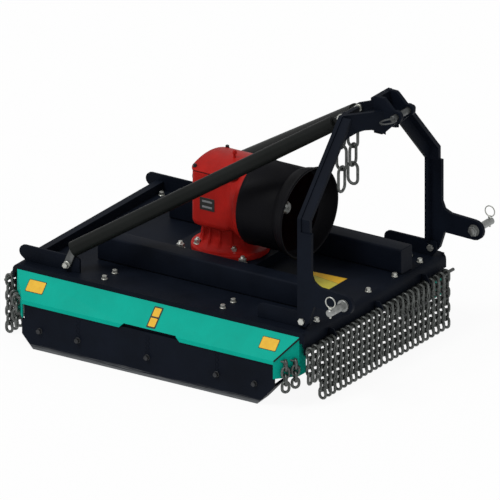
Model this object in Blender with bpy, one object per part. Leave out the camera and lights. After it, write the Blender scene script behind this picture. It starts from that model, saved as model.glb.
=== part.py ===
# Rotary mulcher for a three-point hitch, in metres, with the ground at z = 0 and the hitch at the -Y end
import math

import bmesh
import bpy
from mathutils import Matrix, Vector

# Clearances
GAP = 0.0003
HOLE_CLEARANCE = 0.0008
CUT_PAST = 0.010
MERGE_DISTANCE = 0.000001
ROD_HOLE_CLEARANCE = 0.0012
WELD_LAP = 0.002

# Deck plate
DECK_TOP = 0.2235
DECK_THICKNESS = 0.006
DECK_HALF_WIDTH = 0.3715
DECK_FRONT_Y = -0.505
DECK_REAR_Y = 0.490
DECK_BEND_RADIUS = 0.020
DECK_FLANGE_BOTTOM = 0.179
DECK_LIP_BOTTOM = 0.195
SHAFT_HOLE_RADIUS = 0.050

# Side hoods
HOOD_TOP = 0.209
HOOD_FOLD_Z = 0.146
HOOD_REACH = 0.061
HOOD_HEM_Z = 0.134
HOOD_END_BOTTOM = 0.090
HOOD_THICKNESS = 0.004
HOOD_FRONT_Y = -0.488
HOOD_REAR_Y = 0.474
HOOD_CORNER = 0.057
NOTCH_HEIGHT = 0.015
NOTCH_FRONT_Y = -0.104
NOTCH_REAR_Y = 0.073

# Skids and the side walls that carry them
SKID_THICKNESS = 0.008
SKID_INSET = 0.0045
SKID_SOLE_WIDTH = 0.068
SKID_TOP = 0.137
SKID_FRONT_Y = -0.431
SKID_FRONT_SOLE_Y = -0.373
SKID_FRONT_Z = 0.063
SKID_REAR_Y = 0.4216
SKID_REAR_SOLE_Y = 0.384
SKID_REAR_Z = 0.041
SKID_SIDE_GAP = 0.003
SIDE_WALL_THICKNESS = 0.0075
SIDE_WALL_LIFT = 0.004

# Beams, rail and brackets on the deck
BEAM_CENTRE_X = 0.181
BEAM_WIDTH = 0.072
BEAM_HEIGHT = 0.075
BEAM_WALL = 0.005
BEAM_FRONT_Y = -0.478
RAIL_FRONT_Y = 0.430
RAIL_DEPTH = 0.0236
RAIL_HEIGHT = 0.028
BRACKET_THICKNESS = 0.008
BRACKET_TOP = 0.270
BRACKET_ROUND = 0.020
REAR_BRACKET_START = 0.285
REAR_BRACKET_END = 0.492
FRONT_BRACKET_START = -0.3216
FRONT_BRACKET_END = -0.500
BASE_HALF_X = 0.120
BASE_HALF_Y = 0.140
BASE_HEIGHT = 0.030

# Mast
MAST_HALF_WIDTH = 0.347
MAST_PLATE = 0.012
MAST_REAR_Y = -0.465
MAST_DEPTH = 0.047
MAST_STRIP_DEPTH = 0.040
MAST_STRIP_INSET = 0.004
MAST_BEND_Z = 0.563
MAST_TOP_Z = 0.805
MAST_SADDLE_Z = 0.770
MAST_CORNER_X = 0.130
MAST_LEG_WIDTH = 0.028
MAST_LEAN_WIDTH = 0.046
MAST_FOOT_Z = 0.2338
SIDE_PLATE_TOP = 0.522
CROWN_BOTTOM = 0.736
EAR_INSET = 0.014
EAR_FOOT_Z = 0.722
EAR_ARCH_RISE = 0.026
EAR_TOP = 0.810
EAR_REACH = 0.030
ARM_TOP = 0.364
ARM_BOTTOM = 0.302
ARM_END_RADIUS = 0.030
ARM_FILLET = 0.031
ARM_HEEL = 0.024
FOOT_NECK = 0.009
FOOT_CHAMFER_Z = 0.2514
FOOT_CHAMFER = 0.007
FOOT_TOE = 0.022
HITCH_PIN_Y = -0.624
HITCH_PIN_Z = 0.330
CLEVIS_GAP = 0.052
CLEVIS_REAR_Y = -0.525
CLEVIS_TOP = 0.848
CLEVIS_TOP_LENGTH = 0.034
CLEVIS_FRONT_Y = -0.553
CLEVIS_END_RADIUS = 0.018
CLEVIS_WEB_INSET = 0.0015
TOP_PIN_Y = -0.6006
TOP_PIN_Z = 0.800
SADDLE_HALF_WIDTH = 0.038

# Hitch pins
HITCH_PIN_RADIUS = 0.011
HITCH_PIN_LENGTH = 0.072
HITCH_COLLAR_RADIUS = 0.018
HITCH_COLLAR_WIDTH = 0.008
HITCH_NUT_HEIGHT = 0.012
HITCH_THREAD_END = 0.004
LYNCH_RADIUS = 0.003
LYNCH_INSET = 0.010
LYNCH_TIP = 0.006
LYNCH_HEAD = 0.007
LYNCH_RING_RADIUS = 0.0165
LYNCH_WIRE = 0.0018
TOP_PIN_RADIUS = 0.0095
TOP_PIN_OVERHANG = 0.016
TOP_PIN_HEAD = 0.004
PULL_RING_RADIUS = 0.0235
PULL_RING_WIRE = 0.0025
PULL_RING_TILT = 0.20

# Braces
BRACE_RADIUS = 0.0225
BRACE_LOW_SHIFT = -0.012
BRACE_LOW_RISE = 0.046
BRACE_HIGH_SHIFT = -0.006
BRACE_HIGH_RISE = -0.003
BRACE_LOW_TRIM = 0.012
BRACE_HIGH_TRIM = 0.036
FORK_CHEEK = 0.005
FORK_END_RADIUS = 0.014
FORK_ROOT_RADIUS = 0.0112
FORK_LOW_BOLT_Y = 0.325
FORK_LOW_BOLT_Z = 0.244
FORK_HIGH_BOLT_Y = -0.425
FORK_HIGH_BOLT_Z = 0.766
LUG_CENTRE_X = 0.045
BRACE_LUG_INSET = 0.001
BRACE_LUG_DROP = 0.010
BRACE_LUG_LIFT = 0.008
BOLT_RADIUS = 0.006
BOLT_HEAD_RADIUS = 0.0105
BOLT_HEAD_HEIGHT = 0.0065
FOOT_BOLT_Y = -0.481
FOOT_BOLT_Z = 0.249

# Gearbox
GEAR_AXIS_Z = 0.4205
FLANGE_RADIUS = 0.103
FLANGE_HEIGHT = 0.018
NECK_RADIUS = 0.058
NECK_TOP = 0.345
RIB_COUNT = 8
RIB_THICKNESS = 0.008
RIB_ROOT = 0.045
RIB_INSET = 0.008
NECK_FLARE = 0.009
BODY_HALF_X = 0.090
BODY_FRONT_Y = -0.090
BODY_REAR_Y = 0.070
BODY_TOP = 0.500
BODY_ROUND = 0.022
BODY_WALL = 0.011
COVER_TOP = 0.548
COVER_SLOPE_START = 0.004
COVER_FRONT_DROP = 0.018
FRONT_BOSS_RADIUS = 0.046
FRONT_BOSS_LENGTH = 0.0197
REAR_BOSS_RADIUS = 0.036
REAR_BOSS_LENGTH = 0.010
COVER_RIM = 0.007
COVER_CROWN_SHARE = 0.6
BREATHER_RADIUS = 0.0065
BREATHER_HEIGHT = 0.010
BREATHER_THREAD = 0.012
BREATHER_THREAD_RADIUS = 0.0039

# Shafts, bearings and seals
SHAFT_RADIUS = 0.0175
SHAFT_TAIL_RADIUS = 0.014
SHAFT_TOP_END = 0.004
BEARING_RADIUS = 0.031
REAR_BEARING_RADIUS = 0.027
BEARING_WIDTH = 0.015
SEAL_WIDTH = 0.006
INPUT_SHAFT_END_Y = -0.260
SPLINE_COUNT = 6
SPLINE_LENGTH = 0.070
SPLINE_DEPTH = 0.003
LOWER_BEARING_Z = 0.262
UPPER_BEARING_Z = 0.328

# Bevel pair: the crown wheel is on the input shaft, the pinion on the output shaft
CROWN_TEETH = 21
PINION_TEETH = 14
CROWN_PITCH_RADIUS = 0.0525
TOOTH_ADDENDUM = 0.0036
TOOTH_DEDENDUM = 0.0046
TOOTH_ROOT_SHARE = 0.26
TOOTH_TIP_SHARE = 0.13
TOOTH_FACE = 0.017
GEAR_BACKING = 0.007

# Drive-shaft guard
GUARD_RADIUS = 0.125
GUARD_WALL = 0.004
GUARD_LENGTH = 0.182
GUARD_STEP_FROM_END = 0.052
GUARD_STEP_DEPTH = 0.003
GUARD_HOLE_RADIUS = 0.030

# Rotor and blades
DISC_BOTTOM = 0.100
DISC_THICKNESS = 0.010
DISC_RADIUS = 0.200
HUB_RADIUS = 0.045
HUB_TOP = 0.165
HUB_WELD = 0.012
SHAFT_BOTTOM = 0.084
ROTOR_NUT_RADIUS = 0.028
ROTOR_NUT_HEIGHT = 0.012
BLADE_COUNT = 4
BLADE_PIVOT_RADIUS = 0.165
BLADE_TIP_RADIUS = 0.385
BLADE_WIDTH = 0.060
BLADE_THICKNESS = 0.010
BLADE_LEVEL_STEP = 0.0107
BLADE_BOLT_RADIUS = 0.010
BLADE_BOLT_HEAD_RADIUS = 0.020
BLADE_BOLT_HEAD_HEIGHT = 0.006
BLADE_NUT_RADIUS = 0.017
BLADE_NUT_HEIGHT = 0.009
BLADE_THREAD_END = 0.003
BLADE_CORNER = 0.014
BLADE_BEVEL = 0.014
BLADE_BEVEL_START = 0.45

# Chain curtains
CHAIN_COUNT = 28
CHAIN_PITCH_X = 0.027
CHAIN_ROD_RADIUS = 0.005
CHAIN_ROD_FACETS = 10
CHAIN_ROD_Z = 0.172
FRONT_ROD_STANDOFF = 0.016
REAR_ROD_STANDOFF = 0.016
CHAIN_BOTTOM = 0.005
CHAIN_WIRE = 0.007
CHAIN_WIDTH = 0.024
RINGS_PER_CHAIN = 2
RING_SHARE = 0.68
LUG_THICKNESS = 0.005
LUG_RADIUS = 0.011
LUG_PLACE = 0.65
CHAIN_ROD_OVERHANG = 0.008

# Short support chain under the mast head
SUPPORT_X = -0.068
SUPPORT_TOP = 0.746
SUPPORT_PEG_RADIUS = 0.004
SUPPORT_PEG_LENGTH = 0.024
SUPPORT_PEG_SHARE = 0.6
SUPPORT_PLAY = 0.0007
SUPPORT_LINKS = 4
SUPPORT_LINK_LENGTH = 0.060
SUPPORT_LINK_WIDTH = 0.028
SUPPORT_WIRE = 0.0065

# Facets round a turned piece
FACETS_LARGE = 24
FACETS_MEDIUM = 16
FACETS_SMALL = 8

# The whole part is centred on its own length
FRONT_REACH = HITCH_PIN_Y - ARM_END_RADIUS
REAR_REACH = DECK_REAR_Y + REAR_ROD_STANDOFF + LUG_RADIUS
CENTRE_SHIFT = -(FRONT_REACH + REAR_REACH) / 2

STEEL_BLACK = ("black_paint", (0.012, 0.013, 0.017), 0.45, 0.0)
TUBE_GREY = ("tube_paint", (0.030, 0.030, 0.027), 0.50, 0.0)
TURQUOISE = ("turquoise_paint", (0.010, 0.330, 0.270), 0.40, 0.0)
CAST_RED = ("gearbox_paint", (0.420, 0.010, 0.008), 0.50, 0.0)
ZINC = ("zinc_plate", (0.520, 0.530, 0.520), 0.35, 1.0)
CHAIN_STEEL = ("chain_steel", (0.220, 0.225, 0.220), 0.40, 1.0)
GROUND_STEEL = ("ground_steel", (0.360, 0.360, 0.350), 0.30, 1.0)
BLADE_STEEL = ("blade_steel", (0.180, 0.170, 0.160), 0.45, 1.0)
GUARD_PLASTIC = ("guard_plastic", (0.010, 0.010, 0.011), 0.55, 0.0)
SEAL_RUBBER = ("seal_rubber", (0.010, 0.010, 0.010), 0.70, 0.0)


def clear_scene():
    for item in list(bpy.data.objects):
        bpy.data.objects.remove(item, do_unlink=True)


def get_material(finish):
    name, color, roughness, metallic = finish
    material = bpy.data.materials.get(name)
    if material is None:
        material = bpy.data.materials.new(name)
        material.use_nodes = True
        shader = material.node_tree.nodes["Principled BSDF"]
        shader.inputs["Base Color"].default_value = (*color, 1.0)
        shader.inputs["Roughness"].default_value = roughness
        shader.inputs["Metallic"].default_value = metallic
        material.diffuse_color = (*color, 1.0)
    return material


def solid(bm):
    bmesh.ops.remove_doubles(bm, verts=bm.verts, dist=MERGE_DISTANCE)
    bmesh.ops.recalc_face_normals(bm, faces=bm.faces)
    mesh = bpy.data.meshes.new("solid")
    bm.to_mesh(mesh)
    bm.free()
    obj = bpy.data.objects.new("solid", mesh)
    bpy.context.collection.objects.link(obj)
    return obj


def combine(body, tools, operation):
    for tool in tools:
        modifier = body.modifiers.new("combine", "BOOLEAN")
        modifier.operation = operation
        modifier.solver = "EXACT"
        modifier.object = tool
        bpy.context.view_layer.update()
        evaluated = body.evaluated_get(bpy.context.evaluated_depsgraph_get())
        mesh = bpy.data.meshes.new_from_object(evaluated)
        body.modifiers.clear()
        body.data = mesh
        bpy.data.objects.remove(tool, do_unlink=True)
    return body


def join(body, *tools):
    return combine(body, tools, "UNION")


def cut(body, *tools):
    return combine(body, tools, "DIFFERENCE")


def finish(obj, name, look, origin=(0.0, 0.0, 0.0)):
    obj.name = name
    obj.data.name = name
    obj.data.materials.clear()
    obj.data.materials.append(get_material(look))
    obj.data.transform(Matrix.Translation(-Vector(origin)))
    obj.location = origin
    obj.data.shade_smooth()
    obj.data.set_sharp_from_angle(angle=math.radians(32))
    return obj


def at_level(axis, level, a, b):
    if axis == "X":
        return Vector((level, a, b))
    if axis == "Y":
        return Vector((a, level, b))
    return Vector((a, b, level))


def plate(axis, low, high, outline):
    # A flat outline across one axis, pulled along that axis
    bm = bmesh.new()
    verts = [bm.verts.new(at_level(axis, low, a, b)) for a, b in outline]
    face = bm.faces.new(verts)
    pulled = bmesh.ops.extrude_face_region(bm, geom=[face])
    moved = [item for item in pulled["geom"] if isinstance(item, bmesh.types.BMVert)]
    bmesh.ops.translate(bm, verts=moved, vec=at_level(axis, high - low, 0.0, 0.0))
    return solid(bm)


def block(x0, x1, y0, y1, z0, z1):
    return plate("Z", z0, z1, [(x0, y0), (x1, y0), (x1, y1), (x0, y1)])


def turned(profile, base, direction, steps=FACETS_MEDIUM):
    # A profile of (radius, distance) pairs spun round the line through base
    bm = bmesh.new()
    verts = [bm.verts.new((radius, 0.0, along)) for radius, along in profile]
    edges = [bm.edges.new((a, b)) for a, b in zip(verts, verts[1:] + verts[:1])]
    on_axis = profile[0][0] == 0.0 and profile[-1][0] == 0.0
    if on_axis:
        bm.edges.remove(edges.pop())
    bmesh.ops.spin(bm, geom=verts + edges, cent=(0, 0, 0), axis=(0, 0, 1), dvec=(0, 0, 0),
                   angle=math.tau, steps=steps, use_merge=True, use_duplicate=False)
    bmesh.ops.remove_doubles(bm, verts=bm.verts, dist=MERGE_DISTANCE)
    turn = Vector(direction).to_track_quat("Z", "Y").to_matrix().to_4x4()
    bmesh.ops.transform(bm, matrix=Matrix.Translation(Vector(base)) @ turn, verts=bm.verts)
    return solid(bm)


def rod(start, end, radius, steps=FACETS_MEDIUM):
    start, end = Vector(start), Vector(end)
    length = (end - start).length
    return turned([(0.0, 0.0), (radius, 0.0), (radius, length), (0.0, length)], start, end - start, steps)


def ring(inner, outer, start, end, steps=FACETS_MEDIUM):
    start, end = Vector(start), Vector(end)
    length = (end - start).length
    profile = [(inner, 0.0), (outer, 0.0), (outer, length), (inner, length)]
    return turned(profile, start, end - start, steps)


def wire_ring(centre, axis, radius, wire, steps=12, sides=5):
    profile = []
    for side in range(sides):
        angle = math.tau * side / sides
        profile.append((radius + wire * math.cos(angle), wire * math.sin(angle)))
    return turned(profile, centre, axis, steps)


def arc(centre_a, centre_b, radius, start, end, steps):
    points = []
    for step in range(steps + 1):
        angle = math.radians(start + (end - start) * step / steps)
        points.append((centre_a + radius * math.cos(angle), centre_b + radius * math.sin(angle)))
    return points


def capsule(first, second, first_radius, second_radius, steps=4):
    # The outline round two circles
    (a0, b0), (a1, b1) = first, second
    heading = math.degrees(math.atan2(b1 - b0, a1 - a0))
    far = arc(a1, b1, second_radius, heading - 90, heading + 90, steps)
    near = arc(a0, b0, first_radius, heading + 90, heading + 270, steps)
    return far + near


def shifted_line(points, distance):
    # An open run of points moved sideways, to its left, with mitred corners
    moved = []
    for index, point in enumerate(points):
        normals = []
        for first, second in ((index - 1, index), (index, index + 1)):
            if first >= 0 and second < len(points):
                run = Vector(points[second]) - Vector(points[first])
                normals.append(Vector((-run.y, run.x)).normalized())
        mean = sum(normals, Vector((0.0, 0.0))).normalized()
        offset = mean * (distance / mean.dot(normals[0]))
        moved.append((point[0] + offset.x, point[1] + offset.y))
    return moved


def rounded_box(x0, x1, y0, y1, z0, z1, radius, steps=3):
    outline = arc(x1 - radius, y1 - radius, radius, 0, 90, steps)
    outline += arc(x0 + radius, y1 - radius, radius, 90, 180, steps)
    outline += arc(x0 + radius, y0 + radius, radius, 180, 270, steps)
    outline += arc(x1 - radius, y0 + radius, radius, 270, 360, steps)
    return plate("Z", z0, z1, outline)


def hull(points):
    bm = bmesh.new()
    for point in points:
        bm.verts.new(point)
    made = bmesh.ops.convex_hull(bm, input=bm.verts)
    bmesh.ops.delete(bm, geom=list(set(made["geom_interior"])), context="VERTS")
    bmesh.ops.dissolve_limit(bm, angle_limit=0.001, verts=bm.verts, edges=bm.edges)
    return solid(bm)


def hex_prism(start, end, radius):
    return rod(start, end, radius, 6)


def clear_bore(radius, steps):
    # A faceted bore whose flats, and not only its corners, lie outside radius
    return radius / math.cos(math.pi / steps)


def bolt_along_x(side, y, z, inner_x, outer_x, radius, head_radius, head_height):
    # A bolt whose head lies outside outer_x and whose nut lies inside inner_x
    low, high = inner_x - GAP - head_height, outer_x + GAP + head_height
    shank = rod((side * low, y, z), (side * high, y, z), radius, FACETS_SMALL)
    head = hex_prism((side * (outer_x + GAP), y, z), (side * high, y, z), head_radius)
    nut = hex_prism((side * low, y, z), (side * (inner_x - GAP), y, z), head_radius)
    return join(head, shank, nut)


def build_deck_plate():
    # A folded channel: the top plate with a rounded flange down at each end
    r, t = DECK_BEND_RADIUS, DECK_THICKNESS
    outer = [(DECK_FRONT_Y, DECK_FLANGE_BOTTOM)]
    outer += arc(DECK_FRONT_Y + r, DECK_TOP - r, r, 180, 90, 4)
    outer += arc(DECK_REAR_Y - r, DECK_TOP - r, r, 90, 0, 4)
    outer += [(DECK_REAR_Y, DECK_FLANGE_BOTTOM)]
    inner = [(DECK_REAR_Y - t, DECK_FLANGE_BOTTOM)]
    inner += arc(DECK_REAR_Y - r, DECK_TOP - r, r - t, 0, 90, 4)
    inner += arc(DECK_FRONT_Y + r, DECK_TOP - r, r - t, 90, 180, 4)
    inner += [(DECK_FRONT_Y + t, DECK_FLANGE_BOTTOM)]
    deck = plate("X", -DECK_HALF_WIDTH, DECK_HALF_WIDTH, outer + inner)
    for side in (-1, 1):
        edge = sorted((side * DECK_HALF_WIDTH, side * (DECK_HALF_WIDTH - t)))
        lip = block(*edge, DECK_FRONT_Y + r, DECK_REAR_Y - r, DECK_LIP_BOTTOM, DECK_TOP - WELD_LAP)
        join(deck, lip)
    for end_y, standoff in ((DECK_FRONT_Y, -FRONT_ROD_STANDOFF), (DECK_REAR_Y, REAR_ROD_STANDOFF)):
        join(deck, *rod_lugs(end_y, end_y + standoff))
    cut(deck, rod((0, 0, DECK_TOP - 2 * t), (0, 0, DECK_TOP + t), SHAFT_HOLE_RADIUS, FACETS_LARGE))
    return finish(deck, "deck_plate", STEEL_BLACK)


def lug_places():
    # Lugs stand midway between two chains, in the middle and towards each end
    outer = CHAIN_PITCH_X * round(LUG_PLACE * DECK_HALF_WIDTH / CHAIN_PITCH_X)
    return [-outer, 0.0, outer]


def rod_lugs(flange_y, rod_y):
    lugs = []
    reach = math.copysign(WELD_LAP, flange_y)
    for x in lug_places():
        top = DECK_FLANGE_BOTTOM + 2 * LUG_RADIUS
        far_y = rod_y + math.copysign(LUG_RADIUS, rod_y)
        near_y = flange_y - reach
        outline = [(near_y, top), (rod_y, top), (far_y, CHAIN_ROD_Z + LUG_RADIUS)]
        start, end = (0, -180) if rod_y > 0 else (180, 360)
        outline += arc(rod_y, CHAIN_ROD_Z, LUG_RADIUS, start, end, 4)
        outline += [(near_y, CHAIN_ROD_Z + LUG_RADIUS)]
        lug = plate("X", x - LUG_THICKNESS / 2, x + LUG_THICKNESS / 2, outline)
        hole_radius = CHAIN_ROD_RADIUS + ROD_HOLE_CLEARANCE
        cut(lug, rod((x - LUG_THICKNESS, rod_y, CHAIN_ROD_Z), (x + LUG_THICKNESS, rod_y, CHAIN_ROD_Z),
                     hole_radius, 8))
        lugs.append(lug)
    return lugs


def hood_points(side, inset, open_reach, bottom):
    # The eight corners of a hipped hood, drawn in by inset and run past its open side by open_reach
    slope = (HOOD_TOP - HOOD_FOLD_Z) / HOOD_REACH
    corner_slope = HOOD_CORNER / HOOD_REACH
    drop = inset * math.hypot(1.0, slope)
    draw = inset * math.hypot(1.0, corner_slope)
    inner_x = DECK_HALF_WIDTH + GAP
    points = []
    for out, level in ((-open_reach, None), (HOOD_REACH - inset, None)):
        x = side * (inner_x + out)
        top = HOOD_TOP - out * slope - drop
        front = HOOD_FRONT_Y + out * corner_slope + draw
        rear = HOOD_REAR_Y - out * corner_slope - draw
        for z in (top, bottom):
            points += [(x, front, z), (x, rear, z)]
    return points


def build_side_hood(side, name):
    hood = hull(hood_points(side, 0.0, 0.0, HOOD_END_BOTTOM))
    cut(hood, hull(hood_points(side, HOOD_THICKNESS, 2 * CUT_PAST, HOOD_END_BOTTOM - CUT_PAST)))
    fold = DECK_HALF_WIDTH + HOOD_REACH
    low, high = sorted((side * (fold - 2 * HOOD_THICKNESS), side * (fold + CUT_PAST)))
    front, rear = HOOD_FRONT_Y + HOOD_CORNER, HOOD_REAR_Y - HOOD_CORNER
    below = HOOD_END_BOTTOM - CUT_PAST
    hem = [(front, below), (front, HOOD_HEM_Z)]
    hem += [(NOTCH_FRONT_Y - NOTCH_HEIGHT, HOOD_HEM_Z), (NOTCH_FRONT_Y, HOOD_HEM_Z + NOTCH_HEIGHT)]
    hem += [(NOTCH_REAR_Y, HOOD_HEM_Z + NOTCH_HEIGHT), (NOTCH_REAR_Y + NOTCH_HEIGHT, HOOD_HEM_Z)]
    hem += [(rear, HOOD_HEM_Z), (rear, below)]
    cut(hood, plate("X", low, high, hem))
    return finish(hood, name, TURQUOISE)


def skid_outer_x():
    return DECK_HALF_WIDTH + HOOD_REACH - SKID_INSET


def skid_edge():
    # The skid's underside from its front tip to its rear tip
    return [(SKID_FRONT_Y, SKID_FRONT_Z), (SKID_FRONT_SOLE_Y, 0.0),
            (SKID_REAR_SOLE_Y, 0.0), (SKID_REAR_Y, SKID_REAR_Z)]


def hood_inside(x, clearance):
    # Where the hood's two end plates leave room at x from the middle
    corner_slope = HOOD_CORNER / HOOD_REACH
    reach = (x - DECK_HALF_WIDTH - GAP) * corner_slope + HOOD_THICKNESS * math.hypot(1.0, corner_slope)
    return HOOD_FRONT_Y + reach + clearance, HOOD_REAR_Y - reach - clearance


def build_skid(side, name):
    edge = skid_edge()
    outer = skid_outer_x()
    low, high = sorted((side * outer, side * (outer - SKID_THICKNESS)))
    front, rear = hood_inside(outer, SKID_SIDE_GAP)
    shoulder = HOOD_END_BOTTOM - SKID_SIDE_GAP
    outline = [(SKID_REAR_Y, shoulder), (rear, shoulder), (rear, SKID_TOP), (front, SKID_TOP),
               (front, shoulder), (SKID_FRONT_Y, shoulder)] + edge
    skid = plate("X", low, high, outline)
    low, high = sorted((side * outer, side * (outer - SKID_SOLE_WIDTH)))
    sole = plate("X", low, high, edge + shifted_line(edge, SKID_THICKNESS)[::-1])
    join(skid, sole)
    return finish(skid, name, STEEL_BLACK)


def hood_underside(x):
    # Height of the hood's inner face above a point at x from the middle
    slope = (HOOD_TOP - HOOD_FOLD_Z) / HOOD_REACH
    return HOOD_TOP - (x - DECK_HALF_WIDTH - GAP) * slope - HOOD_THICKNESS * math.hypot(1.0, slope)


def build_side_wall(side, name):
    outer = skid_outer_x() - SKID_THICKNESS - GAP
    low, high = sorted((side * outer, side * (outer - SIDE_WALL_THICKNESS)))
    edge = shifted_line(skid_edge(), SKID_THICKNESS + SIDE_WALL_LIFT)
    top = hood_underside(outer) - GAP
    front, rear = hood_inside(outer, GAP)
    edge[0] = (max(front, edge[0][0]), edge[0][1] + SIDE_WALL_LIFT)
    edge[-1] = (min(rear, edge[-1][0]), edge[-1][1] + SIDE_WALL_LIFT)
    wall = plate("X", low, high, [(edge[-1][0], top), (edge[0][0], top)] + edge)
    return finish(wall, name, STEEL_BLACK)


def build_deck_beam(side, name):
    low, high = sorted((side * (BEAM_CENTRE_X - BEAM_WIDTH / 2), side * (BEAM_CENTRE_X + BEAM_WIDTH / 2)))
    bottom = DECK_TOP + GAP
    rear = RAIL_FRONT_Y - GAP
    beam = block(low, high, BEAM_FRONT_Y, rear, bottom, bottom + BEAM_HEIGHT)
    wall = BEAM_WALL
    cut(beam, block(low + wall, high - wall, BEAM_FRONT_Y - wall, rear + wall,
                    bottom + wall, bottom + BEAM_HEIGHT - wall))
    return finish(beam, name, STEEL_BLACK)


def bracket_faces():
    outer = MAST_HALF_WIDTH - MAST_PLATE - GAP
    return outer - BRACKET_THICKNESS, outer


def build_rear_rail():
    half = bracket_faces()[0] - GAP
    bottom = DECK_TOP + GAP
    rail = block(-half, half, RAIL_FRONT_Y, RAIL_FRONT_Y + RAIL_DEPTH, bottom, bottom + RAIL_HEIGHT)
    return finish(rail, "rear_rail", STEEL_BLACK)


def build_rear_bracket(side, name):
    low, high = sorted(side * x for x in bracket_faces())
    bottom, r = DECK_TOP + GAP, BRACKET_ROUND
    outline = [(REAR_BRACKET_START, bottom), (DECK_REAR_Y - DECK_BEND_RADIUS, bottom)]
    outline += arc(REAR_BRACKET_END - r, BRACKET_TOP - r, r, -50, 90, 6)
    outline += arc(REAR_BRACKET_START + r / 2, BRACKET_TOP - r / 2, r / 2, 90, 180, 3)
    bracket = plate("X", low, high, outline)
    bolt_hole = BOLT_RADIUS + HOLE_CLEARANCE
    cut(bracket, rod((low - CUT_PAST, FORK_LOW_BOLT_Y, FORK_LOW_BOLT_Z),
                     (high + CUT_PAST, FORK_LOW_BOLT_Y, FORK_LOW_BOLT_Z), bolt_hole, FACETS_SMALL))
    return finish(bracket, name, STEEL_BLACK)


def build_front_bracket(side, name):
    low, high = sorted(side * x for x in bracket_faces())
    bottom, r = DECK_TOP + GAP, BRACKET_ROUND
    outline = [(FRONT_BRACKET_END, BRACKET_TOP), (FRONT_BRACKET_END, FOOT_BOLT_Z - r / 2),
               (DECK_FRONT_Y + DECK_BEND_RADIUS, bottom), (FRONT_BRACKET_START, bottom)]
    outline += arc(FRONT_BRACKET_START - r, BRACKET_TOP - r, r, 0, 90, 4)
    bracket = plate("X", low, high, outline)
    cut(bracket, rod((low - CUT_PAST, FOOT_BOLT_Y, FOOT_BOLT_Z), (high + CUT_PAST, FOOT_BOLT_Y, FOOT_BOLT_Z),
                     BOLT_RADIUS + HOLE_CLEARANCE, FACETS_SMALL))
    return finish(bracket, name, STEEL_BLACK)


def build_base_plate():
    bottom = DECK_TOP + GAP
    base = block(-BASE_HALF_X, BASE_HALF_X, -BASE_HALF_Y, BASE_HALF_Y, bottom, bottom + BASE_HEIGHT)
    cut(base, rod((0, 0, bottom - CUT_PAST), (0, 0, bottom + BASE_HEIGHT + CUT_PAST), SHAFT_HOLE_RADIUS,
                  FACETS_LARGE))
    return finish(base, "gearbox_base_plate", STEEL_BLACK)


def leg_line():
    # The mast's outer edge on the +X side, from the side plate up to the crown's corner
    return [(MAST_HALF_WIDTH, SIDE_PLATE_TOP - WELD_LAP), (MAST_HALF_WIDTH, MAST_BEND_Z),
            (MAST_CORNER_X, MAST_TOP_Z)]


def portal_plate():
    # The rear plate of the mast: two legs leaning together into a crown
    edge, foot = MAST_HALF_WIDTH, BRACKET_TOP + GAP
    right = [(edge, foot), (edge, MAST_BEND_Z), (MAST_CORNER_X, MAST_TOP_Z), (SADDLE_HALF_WIDTH, MAST_TOP_Z),
             (SADDLE_HALF_WIDTH, MAST_SADDLE_Z)]
    left = [(-x, z) for x, z in reversed(right)]
    low, high = [Vector(point) for point in shifted_line(leg_line(), MAST_LEAN_WIDTH)[1:]]
    lean = (high - low) / (high.y - low.y)
    inner = edge - MAST_LEG_WIDTH
    bend = low.y + (inner - low.x) / lean.x
    crown = low.x + lean.x * (CROWN_BOTTOM - low.y)
    half = [(inner, foot), (inner, bend), (crown, CROWN_BOTTOM)]
    inside = [(-x, z) for x, z in half] + half[::-1]
    return plate("Y", MAST_REAR_Y - MAST_PLATE, MAST_REAR_Y, right + left + inside)


def leg_strip(side):
    # A bent bar on the leg's outer edge, from the side plate up to the crown
    line = leg_line()
    outline = shifted_line(line, MAST_STRIP_INSET) + shifted_line(line, MAST_STRIP_INSET + MAST_PLATE)[::-1]
    outline = [(side * x, z) for x, z in outline]
    return plate("Y", MAST_REAR_Y - MAST_STRIP_DEPTH, MAST_REAR_Y - WELD_LAP, outline)


def side_plate(side):
    front, r = MAST_REAR_Y - MAST_DEPTH, ARM_FILLET
    outline = [(MAST_REAR_Y, MAST_FOOT_Z), (MAST_REAR_Y, SIDE_PLATE_TOP), (front, SIDE_PLATE_TOP)]
    outline += arc(front - r, ARM_TOP + r, r, 0, -90, 2)
    outline += arc(HITCH_PIN_Y, HITCH_PIN_Z, ARM_END_RADIUS, 90, 270, 8)
    outline += [(front - ARM_HEEL, ARM_BOTTOM), (front - FOOT_NECK, ARM_BOTTOM),
                (front + FOOT_CHAMFER, FOOT_CHAMFER_Z), (front + FOOT_TOE, MAST_FOOT_Z)]
    low, high = sorted((side * MAST_HALF_WIDTH, side * (MAST_HALF_WIDTH - MAST_PLATE)))
    return plate("X", low, high, outline)


def ear(side):
    # An arched plate from the crown's corner forward and inward to the clevis
    start = Vector((side * (MAST_CORNER_X - EAR_INSET), MAST_REAR_Y - WELD_LAP))
    end = Vector((side * CLEVIS_GAP / 2, CLEVIS_REAR_Y - EAR_REACH))
    run = end - start
    outline = [(0.0, MAST_TOP_Z), (run.length, EAR_TOP)]
    steps = 6
    for step in range(steps, -1, -1):
        share = step / steps
        rise = EAR_ARCH_RISE * (1 - (2 * share - 1) ** 2)
        outline.append((run.length * share, EAR_FOOT_Z + (CROWN_BOTTOM - EAR_FOOT_Z) * share + rise))
    low, high = sorted((0.0, side * MAST_PLATE))
    plate_obj = plate("Y", low, high, outline)
    turn = Matrix.Rotation(math.atan2(run.y, run.x), 4, "Z")
    plate_obj.data.transform(Matrix.Translation((start.x, start.y, 0.0)) @ turn)
    return plate_obj


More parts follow.
